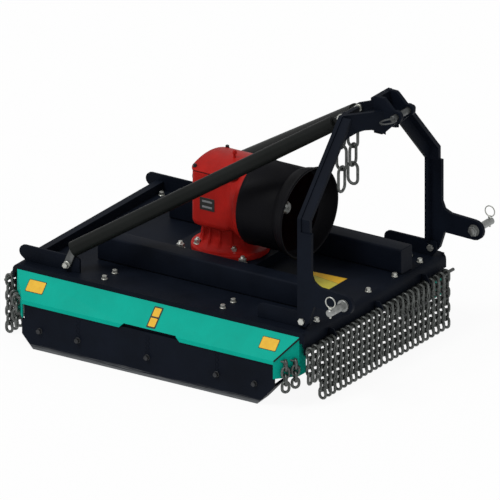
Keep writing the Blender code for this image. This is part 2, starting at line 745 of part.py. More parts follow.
def clevis_plate(side):
    outline = [(CLEVIS_REAR_Y, CROWN_BOTTOM), (CLEVIS_REAR_Y, CLEVIS_TOP),
               (CLEVIS_REAR_Y - CLEVIS_TOP_LENGTH, CLEVIS_TOP)]
    outline += arc(TOP_PIN_Y, TOP_PIN_Z, CLEVIS_END_RADIUS, 60, 270, 9)
    outline += [(CLEVIS_FRONT_Y, CROWN_BOTTOM)]
    inner = CLEVIS_GAP / 2
    low, high = sorted((side * inner, side * (inner + MAST_PLATE)))
    return plate("X", low, high, outline)


def brace_lug(side):
    bolt = (FORK_HIGH_BOLT_Y, FORK_HIGH_BOLT_Z)
    root_y = MAST_REAR_Y - WELD_LAP
    outline = arc(*bolt, FORK_END_RADIUS - BRACE_LUG_INSET, -80, 80, 6)
    outline += [(root_y, MAST_TOP_Z - BRACE_LUG_DROP), (root_y, CROWN_BOTTOM + BRACE_LUG_LIFT)]
    half = BRACKET_THICKNESS / 2
    low, high = sorted((side * (LUG_CENTRE_X - half), side * (LUG_CENTRE_X + half)))
    lug = plate("X", low, high, outline)
    hole_radius = BOLT_RADIUS + HOLE_CLEARANCE
    return cut(lug, rod((low - CUT_PAST, *bolt), (high + CUT_PAST, *bolt), hole_radius, FACETS_SMALL))


def build_mast():
    mast = portal_plate()
    for side in (-1, 1):
        join(mast, side_plate(side), leg_strip(side), ear(side), clevis_plate(side), brace_lug(side))
    web, inset = CLEVIS_GAP / 2 + WELD_LAP, CLEVIS_WEB_INSET
    join(mast, block(-web, web, CLEVIS_REAR_Y - inset - MAST_PLATE, CLEVIS_REAR_Y - inset,
                     CROWN_BOTTOM + inset, CLEVIS_TOP - inset))
    peg_y = MAST_REAR_Y + SUPPORT_PEG_LENGTH
    join(mast, rod((SUPPORT_X, MAST_REAR_Y - WELD_LAP, support_peg_z()), (SUPPORT_X, peg_y, support_peg_z()),
                   SUPPORT_PEG_RADIUS, FACETS_SMALL))
    reach = MAST_HALF_WIDTH + MAST_PLATE
    cut(mast, rod((-reach, HITCH_PIN_Y, HITCH_PIN_Z), (reach, HITCH_PIN_Y, HITCH_PIN_Z),
                  HITCH_PIN_RADIUS + HOLE_CLEARANCE))
    across = CLEVIS_GAP / 2 + 2 * MAST_PLATE
    cut(mast, rod((-across, TOP_PIN_Y, TOP_PIN_Z), (across, TOP_PIN_Y, TOP_PIN_Z),
                  TOP_PIN_RADIUS + HOLE_CLEARANCE))
    cut(mast, rod((-reach, FOOT_BOLT_Y, FOOT_BOLT_Z), (reach, FOOT_BOLT_Y, FOOT_BOLT_Z),
                  BOLT_RADIUS + HOLE_CLEARANCE, FACETS_SMALL))
    return finish(mast, "mast_frame", STEEL_BLACK)


def fork_cheek(side, centre_x, bolt, root):
    half = BRACKET_THICKNESS / 2 + GAP
    cheeks = []
    for face in (-1, 1):
        near = side * centre_x + face * half
        low, high = sorted((near, near + face * FORK_CHEEK))
        cheek = plate("X", low, high, capsule(bolt, root, FORK_END_RADIUS, FORK_ROOT_RADIUS))
        hole_radius = BOLT_RADIUS + HOLE_CLEARANCE
        hole = rod((low - CUT_PAST, *bolt), (high + CUT_PAST, *bolt), hole_radius, FACETS_SMALL)
        cheeks.append(cut(cheek, hole))
    return cheeks


def build_brace(side, name):
    bracket_x = sum(bracket_faces()) / 2
    low = Vector((side * bracket_x, FORK_LOW_BOLT_Y + BRACE_LOW_SHIFT, FORK_LOW_BOLT_Z + BRACE_LOW_RISE))
    high = Vector((side * LUG_CENTRE_X, FORK_HIGH_BOLT_Y + BRACE_HIGH_SHIFT,
                   FORK_HIGH_BOLT_Z + BRACE_HIGH_RISE))
    heading = (high - low).normalized()
    start, end = low + heading * BRACE_LOW_TRIM, high - heading * BRACE_HIGH_TRIM
    brace = rod(start, end, BRACE_RADIUS, FACETS_LARGE)
    low_root = start + heading * FORK_END_RADIUS
    high_root = end - heading * FORK_END_RADIUS
    join(brace, *fork_cheek(side, bracket_x, (FORK_LOW_BOLT_Y, FORK_LOW_BOLT_Z), low_root[1:]))
    join(brace, *fork_cheek(side, LUG_CENTRE_X, (FORK_HIGH_BOLT_Y, FORK_HIGH_BOLT_Z), high_root[1:]))
    return finish(brace, name, TUBE_GREY)


def build_brace_bolts(side, name):
    reach = BRACKET_THICKNESS / 2 + GAP + FORK_CHEEK
    bracket_x = sum(bracket_faces()) / 2
    places = (("lower", bracket_x, FORK_LOW_BOLT_Y, FORK_LOW_BOLT_Z),
              ("upper", LUG_CENTRE_X, FORK_HIGH_BOLT_Y, FORK_HIGH_BOLT_Z))
    for label, x, y, z in places:
        bolt = bolt_along_x(side, y, z, x - reach, x + reach, BOLT_RADIUS, BOLT_HEAD_RADIUS,
                            BOLT_HEAD_HEIGHT)
        finish(bolt, f"brace_{label}_bolt_{name}", ZINC)


def build_foot_bolt(side, name):
    bolt = bolt_along_x(side, FOOT_BOLT_Y, FOOT_BOLT_Z, bracket_faces()[0], MAST_HALF_WIDTH,
                        BOLT_RADIUS, BOLT_HEAD_RADIUS, BOLT_HEAD_HEIGHT)
    return finish(bolt, name, ZINC)


def build_hitch_pin(side, name):
    # A collar seats on the arm, a nut draws the pin up from inside
    outer = MAST_HALF_WIDTH + GAP
    inner = MAST_HALF_WIDTH - MAST_PLATE - GAP
    nut_end = inner - HITCH_NUT_HEIGHT
    start = nut_end - HITCH_THREAD_END
    collar_end = outer + HITCH_COLLAR_WIDTH
    tip = collar_end + HITCH_PIN_LENGTH
    y, z = HITCH_PIN_Y, HITCH_PIN_Z
    r, chamfer = HITCH_PIN_RADIUS, HITCH_PIN_RADIUS / 4
    profile = [(0.0, 0.0), (r, 0.0), (r, outer - start), (HITCH_COLLAR_RADIUS, outer - start),
               (HITCH_COLLAR_RADIUS, collar_end - start), (r, collar_end - start),
               (r, tip - start - chamfer), (r - chamfer, tip - start), (0.0, tip - start)]
    pin = turned(profile, (side * start, y, z), (side, 0, 0))
    join(pin, hex_prism((side * nut_end, y, z), (side * inner, y, z), HITCH_COLLAR_RADIUS))
    lynch_x = side * (tip - LYNCH_INSET)
    cut(pin, rod((lynch_x, y, z - 2 * r), (lynch_x, y, z + 2 * r), LYNCH_RADIUS + HOLE_CLEARANCE,
                 FACETS_SMALL))
    return finish(pin, name, ZINC)


def build_lynch_pin(side, name):
    # A dropped pin with a round head, and a ring that hangs outside the hitch pin
    tip = MAST_HALF_WIDTH + GAP + HITCH_COLLAR_WIDTH + HITCH_PIN_LENGTH
    x, y = side * (tip - LYNCH_INSET), HITCH_PIN_Y
    seat = HITCH_PIN_Z + HITCH_PIN_RADIUS + GAP
    bottom = HITCH_PIN_Z - HITCH_PIN_RADIUS - LYNCH_TIP
    lynch = rod((x, y, bottom), (x, y, seat + GAP), LYNCH_RADIUS, FACETS_SMALL)
    join(lynch, rod((x, y, seat), (x, y, seat + LYNCH_HEAD), LYNCH_RADIUS * 2, FACETS_SMALL))
    ring_z = seat + LYNCH_HEAD / 2 + LYNCH_RING_RADIUS
    join(lynch, wire_ring((x, y, ring_z), (1, 0, 0), LYNCH_RING_RADIUS, LYNCH_WIRE))
    return finish(lynch, name, ZINC, (x, y, seat))


def build_top_pin():
    # The top-link pin with the ring that pulls it out
    half = CLEVIS_GAP / 2 + MAST_PLATE + TOP_PIN_OVERHANG
    y, z = TOP_PIN_Y, TOP_PIN_Z
    start = -half - TOP_PIN_HEAD
    pin = rod((start, y, z), (half, y, z), TOP_PIN_RADIUS)
    ring_x = start - PULL_RING_RADIUS + PULL_RING_WIRE / 2
    join(pin, wire_ring((ring_x, y, z), (0.0, PULL_RING_TILT, 1.0), PULL_RING_RADIUS, PULL_RING_WIRE, 16))
    return finish(pin, "top_link_pin", ZINC, (0.0, y, z))


def support_peg_z():
    return SUPPORT_TOP + SUPPORT_PEG_RADIUS


def link_outline(half_width, half_length, steps=4):
    straight = half_length - half_width
    return arc(0.0, straight, half_width, 0, 180, steps) + arc(0.0, -straight, half_width, 180, 360, steps)


def build_support_chain():
    # Flat and edge-on links in turn, joined into one hanging piece
    y = MAST_REAR_Y + SUPPORT_PEG_LENGTH * SUPPORT_PEG_SHARE
    wire = SUPPORT_WIRE
    pitch = SUPPORT_LINK_LENGTH - 2 * wire
    top = support_peg_z() + SUPPORT_PEG_RADIUS + SUPPORT_PLAY + wire
    chain = None
    for index in range(SUPPORT_LINKS):
        centre = top - SUPPORT_LINK_LENGTH / 2 - index * pitch
        outer = link_outline(SUPPORT_LINK_WIDTH / 2, SUPPORT_LINK_LENGTH / 2)
        inner = link_outline(SUPPORT_LINK_WIDTH / 2 - wire, SUPPORT_LINK_LENGTH / 2 - wire)
        axis, across, level = ("Y", SUPPORT_X, y) if index % 2 == 0 else ("X", y, SUPPORT_X)
        link = plate(axis, level - wire / 2, level + wire / 2, [(across + a, centre + b) for a, b in outer])
        cut(link, plate(axis, level - wire, level + wire, [(across + a, centre + b) for a, b in inner]))
        chain = link if chain is None else join(chain, link)
    return finish(chain, "support_chain", CHAIN_STEEL, (SUPPORT_X, y, support_peg_z()))


def build_gearbox_housing():
    top = BASE_HEIGHT + DECK_TOP + 2 * GAP
    flange = rod((0, 0, top), (0, 0, top + FLANGE_HEIGHT), FLANGE_RADIUS, FACETS_LARGE)
    neck_base = top + FLANGE_HEIGHT - WELD_LAP
    body_bottom = NECK_TOP
    neck_height = body_bottom + WELD_LAP - neck_base
    profile = [(0.0, 0.0), (NECK_RADIUS + NECK_FLARE, 0.0), (NECK_RADIUS, 2 * NECK_FLARE),
               (NECK_RADIUS, neck_height), (0.0, neck_height)]
    join(flange, turned(profile, (0, 0, neck_base), (0, 0, 1)))
    for index in range(RIB_COUNT):
        angle = math.tau * (index + 0.5) / RIB_COUNT
        rib = plate("Y", -RIB_THICKNESS / 2, RIB_THICKNESS / 2,
                    [(RIB_ROOT, neck_base), (FLANGE_RADIUS - RIB_INSET, neck_base),
                     (BODY_REAR_Y, body_bottom + WELD_LAP), (RIB_ROOT, body_bottom + WELD_LAP)])
        rib.data.transform(Matrix.Rotation(angle, 4, "Z"))
        join(flange, rib)
    body = rounded_box(-BODY_HALF_X, BODY_HALF_X, BODY_FRONT_Y, BODY_REAR_Y, body_bottom, BODY_TOP,
                       BODY_ROUND)
    join(flange, body)
    axis_z = GEAR_AXIS_Z
    join(flange, rod((0, BODY_FRONT_Y + WELD_LAP, axis_z), (0, BODY_FRONT_Y - FRONT_BOSS_LENGTH, axis_z),
                     FRONT_BOSS_RADIUS, FACETS_LARGE))
    join(flange, rod((0, BODY_REAR_Y - WELD_LAP, axis_z), (0, BODY_REAR_Y + REAR_BOSS_LENGTH, axis_z),
                     REAR_BOSS_RADIUS))
    wall = BODY_WALL
    cavity = rounded_box(-BODY_HALF_X + wall, BODY_HALF_X - wall, BODY_FRONT_Y + wall, BODY_REAR_Y - wall,
                         body_bottom + wall, BODY_TOP + CUT_PAST, BODY_ROUND - wall)
    cut(flange, cavity)
    mouth = BODY_FRONT_Y - FRONT_BOSS_LENGTH - CUT_PAST
    cut(flange, rod((0, BODY_FRONT_Y + 2 * wall, axis_z), (0, mouth, axis_z), BEARING_RADIUS))
    seat_end = rear_bearing_start() + BEARING_WIDTH + GAP
    cut(flange, rod((0, BODY_REAR_Y - 2 * wall, axis_z), (0, seat_end, axis_z), REAR_BEARING_RADIUS))
    cut(flange, rod((0, 0, body_bottom + 2 * wall), (0, 0, top - CUT_PAST), BEARING_RADIUS))
    return finish(flange, "gearbox_housing", CAST_RED)


def rear_bearing_start():
    return BODY_REAR_Y - BODY_WALL + GAP


def build_gearbox_cover():
    bottom = BODY_TOP + GAP
    half = BODY_HALF_X
    outline = [(BODY_FRONT_Y, bottom), (BODY_REAR_Y, bottom), (BODY_REAR_Y, bottom + COVER_RIM),
               (COVER_SLOPE_START, COVER_TOP), (BODY_FRONT_Y * COVER_CROWN_SHARE, COVER_TOP),
               (BODY_FRONT_Y, COVER_TOP - COVER_FRONT_DROP)]
    cover = plate("X", -half, half, outline)
    corners = rounded_box(-half, half, BODY_FRONT_Y, BODY_REAR_Y, bottom - CUT_PAST, COVER_TOP + CUT_PAST,
                          BODY_ROUND)
    combine(cover, [corners], "INTERSECT")
    hole_bottom = COVER_TOP - BREATHER_THREAD - GAP
    cut(cover, rod((0, breather_y(), hole_bottom), (0, breather_y(), COVER_TOP + BREATHER_HEIGHT),
                   BREATHER_THREAD_RADIUS + GAP, FACETS_SMALL))
    return finish(cover, "gearbox_cover", CAST_RED)


def breather_y():
    return (COVER_SLOPE_START + BODY_FRONT_Y * COVER_CROWN_SHARE) / 2


def build_breather():
    y = breather_y()
    seat = COVER_TOP + GAP
    plug = hex_prism((0, y, seat), (0, y, seat + BREATHER_HEIGHT * 0.7), BREATHER_RADIUS)
    thread_bottom = COVER_TOP - BREATHER_THREAD
    join(plug, rod((0, y, thread_bottom), (0, y, seat + BREATHER_HEIGHT), BREATHER_THREAD_RADIUS,
                   FACETS_SMALL))
    return finish(plug, "breather_plug", ZINC)


def guard_back_y():
    return BODY_FRONT_Y - FRONT_BOSS_LENGTH - GAP


def build_guard():
    # An open cup round the input shaft, with a step near its mouth
    r, t, step = GUARD_RADIUS, GUARD_WALL, GUARD_STEP_DEPTH
    mouth, seam = GUARD_LENGTH, GUARD_LENGTH - GUARD_STEP_FROM_END
    edge = 2 * t
    profile = [(GUARD_HOLE_RADIUS, 0.0), (r - edge, 0.0), (r - step, edge), (r - step, seam), (r, seam),
               (r, mouth), (r - t, mouth), (r - t, seam + t), (r - step - t, seam + t),
               (r - step - t, t + edge / 1.5), (r - t - edge, t), (GUARD_HOLE_RADIUS, t)]
    guard = turned(profile, (0, guard_back_y(), GEAR_AXIS_Z), (0, -1, 0), FACETS_LARGE)
    return finish(guard, "drive_guard", GUARD_PLASTIC)


def bevel_wheel(teeth, mate_teeth, phase):
    # Teeth on a cone whose tip is at the origin and whose axis is -Z, with a hub behind and a bore
    module = 2 * CROWN_PITCH_RADIUS / CROWN_TEETH
    radius, depth = module * teeth / 2, module * mate_teeth / 2
    cone = math.hypot(radius, depth)
    lean_r, lean_z = depth / cone, radius / cone
    scale = (cone - TOOTH_FACE) / cone
    bm = bmesh.new()
    step = math.tau / teeth
    shape = ((-TOOTH_ROOT_SHARE, -TOOTH_DEDENDUM), (-TOOTH_TIP_SHARE, TOOTH_ADDENDUM),
             (TOOTH_TIP_SHARE, TOOTH_ADDENDUM), (TOOTH_ROOT_SHARE, -TOOTH_DEDENDUM))

    def point(angle, r, z):
        return bm.verts.new((r * math.cos(angle), r * math.sin(angle), z))

    def toothed_loop(factor):
        loop = []
        for tooth in range(teeth):
            for share, height in shape:
                out, down = radius + height * lean_r, depth - height * lean_z
                loop.append(point((tooth + share + phase) * step, out * factor, -down * factor))
        return loop

    def plain_loop(r, z):
        return [point((tooth + phase) * step, r, z) for tooth in range(teeth)]

    back = depth + TOOTH_DEDENDUM * lean_z
    hub_radius = radius - 2 * TOOTH_DEDENDUM
    bore = SHAFT_RADIUS + 2 * GAP
    large, small = toothed_loop(1.0), toothed_loop(scale)
    rings = [plain_loop(hub_radius, -back), plain_loop(hub_radius, -back - GEAR_BACKING),
             plain_loop(bore, -back - GEAR_BACKING), plain_loop(bore, -back * scale)]
    count = 4 * teeth
    for index in range(count):
        following = (index + 1) % count
        bm.faces.new((large[index], large[following], small[following], small[index]))
    for tooth in range(teeth):
        beyond = (tooth + 1) % teeth
        for first, second in zip(rings, rings[1:]):
            bm.faces.new((first[tooth], first[beyond], second[beyond], second[tooth]))
        for toothed, plain in ((large, rings[0]), (small, rings[-1])):
            # A fan from each plain point to its own tooth, then a quad across the gap
            own = toothed[4 * tooth:4 * tooth + 4]
            for first, second in zip(own, own[1:]):
                bm.faces.new((plain[tooth], first, second))
            bm.faces.new((plain[tooth], own[3], toothed[4 * beyond]))
            bm.faces.new((plain[tooth], toothed[4 * beyond], plain[beyond]))
    return solid(bm)


def build_crown_wheel():
    wheel = bevel_wheel(CROWN_TEETH, PINION_TEETH, 0.0)
    # The wheel's axis turns from -Z to -Y, and its first tooth from +X to -Z
    turn = Matrix(((0, -1, 0, 0), (0, 0, 1, 0), (-1, 0, 0, 0), (0, 0, 0, 1)))
    wheel.data.transform(Matrix.Translation((0, 0, GEAR_AXIS_Z)) @ turn)
    return finish(wheel, "crown_wheel", GROUND_STEEL, (0, 0, GEAR_AXIS_Z))


def build_pinion():
    wheel = bevel_wheel(PINION_TEETH, CROWN_TEETH, 0.5)
    # The first gap turns from +X to -Y, to take the crown wheel's tooth
    wheel.data.transform(Matrix.Translation((0, 0, GEAR_AXIS_Z)) @ Matrix.Rotation(-math.pi / 2, 4, "Z"))
    return finish(wheel, "output_pinion", GROUND_STEEL, (0, 0, GEAR_AXIS_Z))


def build_input_shaft():
    z, end = GEAR_AXIS_Z, BODY_REAR_Y - GAP
    plain_end = INPUT_SHAFT_END_Y + SPLINE_LENGTH
    shaft = rod((0, plain_end, z), (0, end, z), SHAFT_RADIUS)
    root = SHAFT_RADIUS - SPLINE_DEPTH
    outline = []
    for index in range(SPLINE_COUNT):
        middle = 360 * index / SPLINE_COUNT
        outline += arc(0.0, z, SHAFT_RADIUS, middle - 13, middle + 13, 2)
        outline += arc(0.0, z, root, middle + 17, middle + 43, 2)
    join(shaft, plate("Y", INPUT_SHAFT_END_Y, plain_end + WELD_LAP, outline))
    return finish(shaft, "input_shaft", GROUND_STEEL, (0, 0, z))


def build_output_shaft():
    top = GEAR_AXIS_Z - CROWN_PITCH_RADIUS + TOOTH_FACE + SHAFT_TOP_END
    tail, shoulder = SHAFT_TAIL_RADIUS, DISC_BOTTOM - GAP
    profile = [(0.0, SHAFT_BOTTOM), (tail, SHAFT_BOTTOM), (tail, shoulder), (SHAFT_RADIUS, shoulder),
               (SHAFT_RADIUS, top), (0.0, top)]
    shaft = turned(profile, (0, 0, 0), (0, 0, 1))
    return finish(shaft, "output_shaft", GROUND_STEEL)


def build_bearings():
    z, r = GEAR_AXIS_Z, BEARING_RADIUS - GAP
    bore = clear_bore(SHAFT_RADIUS + GAP, FACETS_MEDIUM)
    seal_face = BODY_FRONT_Y - FRONT_BOSS_LENGTH
    seal_inner = seal_face + SEAL_WIDTH
    front = seal_inner + GAP + BEARING_WIDTH
    rear = rear_bearing_start()
    finish(ring(bore, r, (0, front, z), (0, seal_inner + GAP, z)), "input_front_bearing", GROUND_STEEL)
    finish(ring(bore, r, (0, seal_inner, z), (0, seal_face, z)), "input_seal", SEAL_RUBBER)
    finish(ring(bore, REAR_BEARING_RADIUS - GAP, (0, rear, z), (0, rear + BEARING_WIDTH - GAP, z)),
           "input_rear_bearing", GROUND_STEEL)
    for name, low in (("output_lower_bearing", LOWER_BEARING_Z), ("output_upper_bearing", UPPER_BEARING_Z)):
        finish(ring(bore, r, (0, 0, low), (0, 0, low + BEARING_WIDTH)), name, GROUND_STEEL)
    seal_top = LOWER_BEARING_Z - GAP
    finish(ring(bore, r, (0, 0, seal_top - SEAL_WIDTH), (0, 0, seal_top)), "output_seal", SEAL_RUBBER)


def blade_angle(index):
    return math.tau * index / BLADE_COUNT + math.pi / BLADE_COUNT


def blade_top(index):
    # Neighbouring blades run at two levels, so that they can pass
    return DISC_BOTTOM - GAP - (index % 2) * BLADE_LEVEL_STEP


def build_rotor_disc():
    disc_top = DISC_BOTTOM + DISC_THICKNESS
    profile = [(SHAFT_RADIUS + GAP, DISC_BOTTOM), (DISC_RADIUS, DISC_BOTTOM), (DISC_RADIUS, disc_top),
               (HUB_RADIUS + HUB_WELD, disc_top), (HUB_RADIUS, disc_top + HUB_WELD), (HUB_RADIUS, HUB_TOP),
               (SHAFT_RADIUS + GAP, HUB_TOP)]
    disc = turned(profile, (0, 0, 0), (0, 0, 1), FACETS_LARGE)
    for index in range(BLADE_COUNT):
        angle = blade_angle(index)
        x, y = BLADE_PIVOT_RADIUS * math.cos(angle), BLADE_PIVOT_RADIUS * math.sin(angle)
        cut(disc, rod((x, y, DISC_BOTTOM - CUT_PAST), (x, y, disc_top + CUT_PAST),
                      BLADE_BOLT_RADIUS + HOLE_CLEARANCE, FACETS_SMALL))
    return finish(disc, "rotor_disc", STEEL_BLACK)


def build_rotor_nut():
    top = DISC_BOTTOM - GAP
    nut = hex_prism((0, 0, top - ROTOR_NUT_HEIGHT), (0, 0, top), ROTOR_NUT_RADIUS)
    cut(nut, rod((0, 0, top - 2 * ROTOR_NUT_HEIGHT), (0, 0, top + CUT_PAST), SHAFT_TAIL_RADIUS + GAP))
    return finish(nut, "rotor_nut", ZINC)


def build_blade_bolt(index):
    angle = blade_angle(index)
    x, y = BLADE_PIVOT_RADIUS * math.cos(angle), BLADE_PIVOT_RADIUS * math.sin(angle)
    under = blade_top(index) - BLADE_THICKNESS - GAP
    over = DISC_BOTTOM + DISC_THICKNESS + GAP
    head = BLADE_BOLT_HEAD_HEIGHT
    nut_end = over + BLADE_NUT_HEIGHT
    bolt = rod((x, y, under - head), (x, y, nut_end + BLADE_THREAD_END), BLADE_BOLT_RADIUS, FACETS_SMALL)
    join(bolt, rod((x, y, under - head), (x, y, under), BLADE_BOLT_HEAD_RADIUS, FACETS_SMALL))
    join(bolt, hex_prism((x, y, over), (x, y, nut_end), BLADE_NUT_RADIUS))
    if index % 2:
        join(bolt, rod((x, y, blade_top(index) + GAP), (x, y, DISC_BOTTOM - GAP), BLADE_BOLT_HEAD_RADIUS,
                       FACETS_SMALL))
    return finish(bolt, f"blade_bolt_{index + 1}", ZINC)


def build_blade(index):
    # A flat bar with a round heel and clipped tip, ground to a cutting edge along both outer sides
    reach = BLADE_TIP_RADIUS - BLADE_PIVOT_RADIUS
    half, corner, t = BLADE_WIDTH / 2, BLADE_CORNER, BLADE_THICKNESS
    outline = [(reach - corner, -half), (reach, corner - half), (reach, half - corner),
               (reach - corner, half)]
    outline += arc(0.0, 0.0, half, 90, 270, 6)
    top = blade_top(index)
    blade = plate("Z", top - t, top, outline)
    for side in (-1, 1):
        inner, edge, outer = half - BLADE_BEVEL, half - t / 10, half + t
        wedge = plate("X", reach * BLADE_BEVEL_START, reach + t,
                      [(side * inner, top + t / 10), (side * outer, top + t / 10),
                       (side * outer, top - t), (side * edge, top - 0.8 * t)])
        cut(blade, wedge)
    bore = clear_bore(BLADE_BOLT_RADIUS + GAP, FACETS_MEDIUM)
    cut(blade, rod((0, 0, top - 2 * t), (0, 0, top + t), bore, FACETS_MEDIUM))
    angle = blade_angle(index)
    x, y = BLADE_PIVOT_RADIUS * math.cos(angle), BLADE_PIVOT_RADIUS * math.sin(angle)
    blade.data.transform(Matrix.Translation((x, y, 0.0)) @ Matrix.Rotation(angle, 4, "Z"))
    return finish(blade, f"blade_{index + 1}", BLADE_STEEL, (x, y, top))


def chain_outline(x):
    # One chain seen from the front: edge-on links are bars, and flat links are rings with holes
    half, bar, corner = CHAIN_WIDTH / 2, CHAIN_WIRE / 2, CHAIN_WIDTH / 4
    pitch = (CHAIN_ROD_Z - CHAIN_BOTTOM) / RINGS_PER_CHAIN
    ring_length = pitch * RING_SHARE
    right, holes = [(bar, CHAIN_ROD_Z)], []
    for index in range(RINGS_PER_CHAIN):
        low = CHAIN_ROD_Z - (index + 1) * pitch
        high = low + ring_length
        right += [(bar, high), (half, high - corner), (half, low + corner), (bar, low)]
        middle, gap = low + ring_length / 2, half - CHAIN_WIRE
        holes.append([(x, high - CHAIN_WIRE), (x + gap, middle), (x, low + CHAIN_WIRE), (x - gap, middle)])
    left = [(-a, b) for a, b in reversed(right)]
    return [(x + a, b) for a, b in right + left], holes


def pierced_plate(axis, low, high, outline, holes):
    bm = bmesh.new()
    for loop in [outline] + holes:
        verts = [bm.verts.new(at_level(axis, low, a, b)) for a, b in loop]
        for first, second in zip(verts, verts[1:] + verts[:1]):
            bm.edges.new((first, second))
    bmesh.ops.triangle_fill(bm, edges=bm.edges, use_beauty=True)
    pulled = bmesh.ops.extrude_face_region(bm, geom=list(bm.faces))
    moved = [item for item in pulled["geom"] if isinstance(item, bmesh.types.BMVert)]
    bmesh.ops.translate(bm, verts=moved, vec=at_level(axis, high - low, 0.0, 0.0))
    return solid(bm)


def build_chain_row(rod_y, name):
    # Every chain hangs on one rod that turns in the deck's lugs
    half_span = CHAIN_PITCH_X * (CHAIN_COUNT - 1) / 2
    rod_end = half_span + CHAIN_WIDTH / 2 + CHAIN_ROD_OVERHANG
    row = rod((-rod_end, rod_y, CHAIN_ROD_Z), (rod_end, rod_y, CHAIN_ROD_Z), CHAIN_ROD_RADIUS,
              CHAIN_ROD_FACETS)
    half = CHAIN_WIRE / 2
    for index in range(CHAIN_COUNT):
        outline, holes = chain_outline(index * CHAIN_PITCH_X - half_span)
        chain = pierced_plate("Y", rod_y - half, rod_y + half, outline, holes)
        join(row, chain)
    return finish(row, name, CHAIN_STEEL, (0.0, rod_y, CHAIN_ROD_Z))


def build_all():
    clear_scene()
    build_deck_plate()
    build_rear_rail()
    build_base_plate()
    for side, name in ((-1, "right"), (1, "left")):
        build_side_hood(side, f"side_hood_{name}")
        build_skid(side, f"skid_{name}")
        build_side_wall(side, f"side_wall_{name}")
        build_deck_beam(side, f"deck_beam_{name}")
        build_rear_bracket(side, f"rear_bracket_{name}")
        build_front_bracket(side, f"front_bracket_{name}")
        build_brace(side, f"brace_{name}")
        build_brace_bolts(side, name)
        build_foot_bolt(side, f"mast_foot_bolt_{name}")
        build_hitch_pin(side, f"hitch_pin_{name}")
        build_lynch_pin(side, f"lynch_pin_{name}")
    build_mast()
    build_top_pin()
    build_support_chain()
    build_gearbox_housing()
    build_gearbox_cover()
    build_breather()
    build_guard()
    build_crown_wheel()
    build_pinion()
    build_input_shaft()
    build_output_shaft()
    build_bearings()
    build_rotor_disc()
    build_rotor_nut()
    for index in range(BLADE_COUNT):
        build_blade_bolt(index)
        build_blade(index)
    build_chain_row(DECK_FRONT_Y - FRONT_ROD_STANDOFF, "front_chains")
    build_chain_row(DECK_REAR_Y + REAR_ROD_STANDOFF, "rear_chains")
    for item in bpy.data.objects:
        item.location.y += CENTRE_SHIFT


build_all()
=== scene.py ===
import math

import bmesh
import bpy
from mathutils import Matrix, Vector


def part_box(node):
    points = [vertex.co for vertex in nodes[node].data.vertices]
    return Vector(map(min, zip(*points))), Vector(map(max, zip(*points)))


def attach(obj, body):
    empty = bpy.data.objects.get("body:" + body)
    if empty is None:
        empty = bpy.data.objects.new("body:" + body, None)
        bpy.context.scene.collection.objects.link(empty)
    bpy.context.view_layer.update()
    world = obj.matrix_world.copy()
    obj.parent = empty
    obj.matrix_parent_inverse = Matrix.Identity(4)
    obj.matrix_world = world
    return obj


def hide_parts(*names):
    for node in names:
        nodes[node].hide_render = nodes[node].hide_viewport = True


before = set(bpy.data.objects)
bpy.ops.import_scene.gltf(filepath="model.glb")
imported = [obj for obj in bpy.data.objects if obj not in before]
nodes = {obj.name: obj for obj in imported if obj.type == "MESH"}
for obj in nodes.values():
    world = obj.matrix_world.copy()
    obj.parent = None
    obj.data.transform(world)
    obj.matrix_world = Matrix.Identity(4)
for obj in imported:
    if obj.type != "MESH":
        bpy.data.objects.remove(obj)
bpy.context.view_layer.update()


def middleOf(node, axis):
    low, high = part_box(node)
    return (low[axis] + high[axis]) / 2


gearY = middleOf("output_shaft", 1)  # everything is laid out from the gearbox's upright axis
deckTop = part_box("gearbox_base_plate")[0][2]
print("frame loaded, gearbox axis at y =", round(gearY, 4))


# Shader sockets that can be added, multiplied and so on
class Wire:
    def __init__(self, tree, socket):
        self.tree = tree
        self.socket = socket

    def node(self, kind, settings, inputs, output=0):
        made = self.tree.nodes.new(kind)
        for key, value in settings.items():
            setattr(made, key, value)
        for key, value in inputs.items():
            if isinstance(value, Wire):
                self.tree.links.new(value.socket, made.inputs[key])
            elif value is not None:
                made.inputs[key].default_value = value
        return Wire(self.tree, made.outputs[output])

    def maths(self, operation, first, second):
        return self.node("ShaderNodeMath", {"operation": operation}, {0: first, 1: second})

    def __add__(self, other):
        return self.maths("ADD", self, other)

    def __radd__(self, other):
        return self.maths("ADD", other, self)

    def __sub__(self, other):
        return self.maths("SUBTRACT", self, other)

    def __rsub__(self, other):
        return self.maths("SUBTRACT", other, self)

    def __mul__(self, other):
        return self.maths("MULTIPLY", self, other)

    def __rmul__(self, other):
        return self.maths("MULTIPLY", other, self)

    def clamp(self, low, high):
        span = {"From Min": low, "From Max": high}
        return self.node("ShaderNodeMapRange", {"clamp": True}, {"Value": self, **span})


def rgb(red, green, blue):
    # From the 0 to 255 numbers of a screen colour to the linear ones of a shader
    linear = []
    for level in (red, green, blue):
        share = level / 255
        linear.append(share / 12.92 if share <= 0.04045 else ((share + 0.055) / 1.055) ** 2.4)
    return tuple(linear)


def startMaterial(name):
    material = bpy.data.materials.new(name)
    material.use_nodes = True
    tree = material.node_tree
    shader = tree.nodes["Principled BSDF"]
    coords = Wire(tree, tree.nodes.new("ShaderNodeTexCoord").outputs["Object"])
    return material, shader, coords


def feed(shader, socket, value):
    value.tree.links.new(value.socket, shader.inputs[socket])


def noise(coords, scale, detail=2.0, rough=0.5):
    spots = {"Vector": coords, "Scale": scale, "Detail": detail, "Roughness": rough}
    return coords.node("ShaderNodeTexNoise", {}, spots)


def cells(coords, scale):
    return coords.node("ShaderNodeTexVoronoi", {}, {"Vector": coords, "Scale": scale}, "Distance")


def stretch(coords, factors):
    return coords.node("ShaderNodeVectorMath", {"operation": "MULTIPLY"}, {0: coords, 1: factors})


def upOf(wire):
    return wire.node("ShaderNodeSeparateXYZ", {}, {0: wire}, 2)


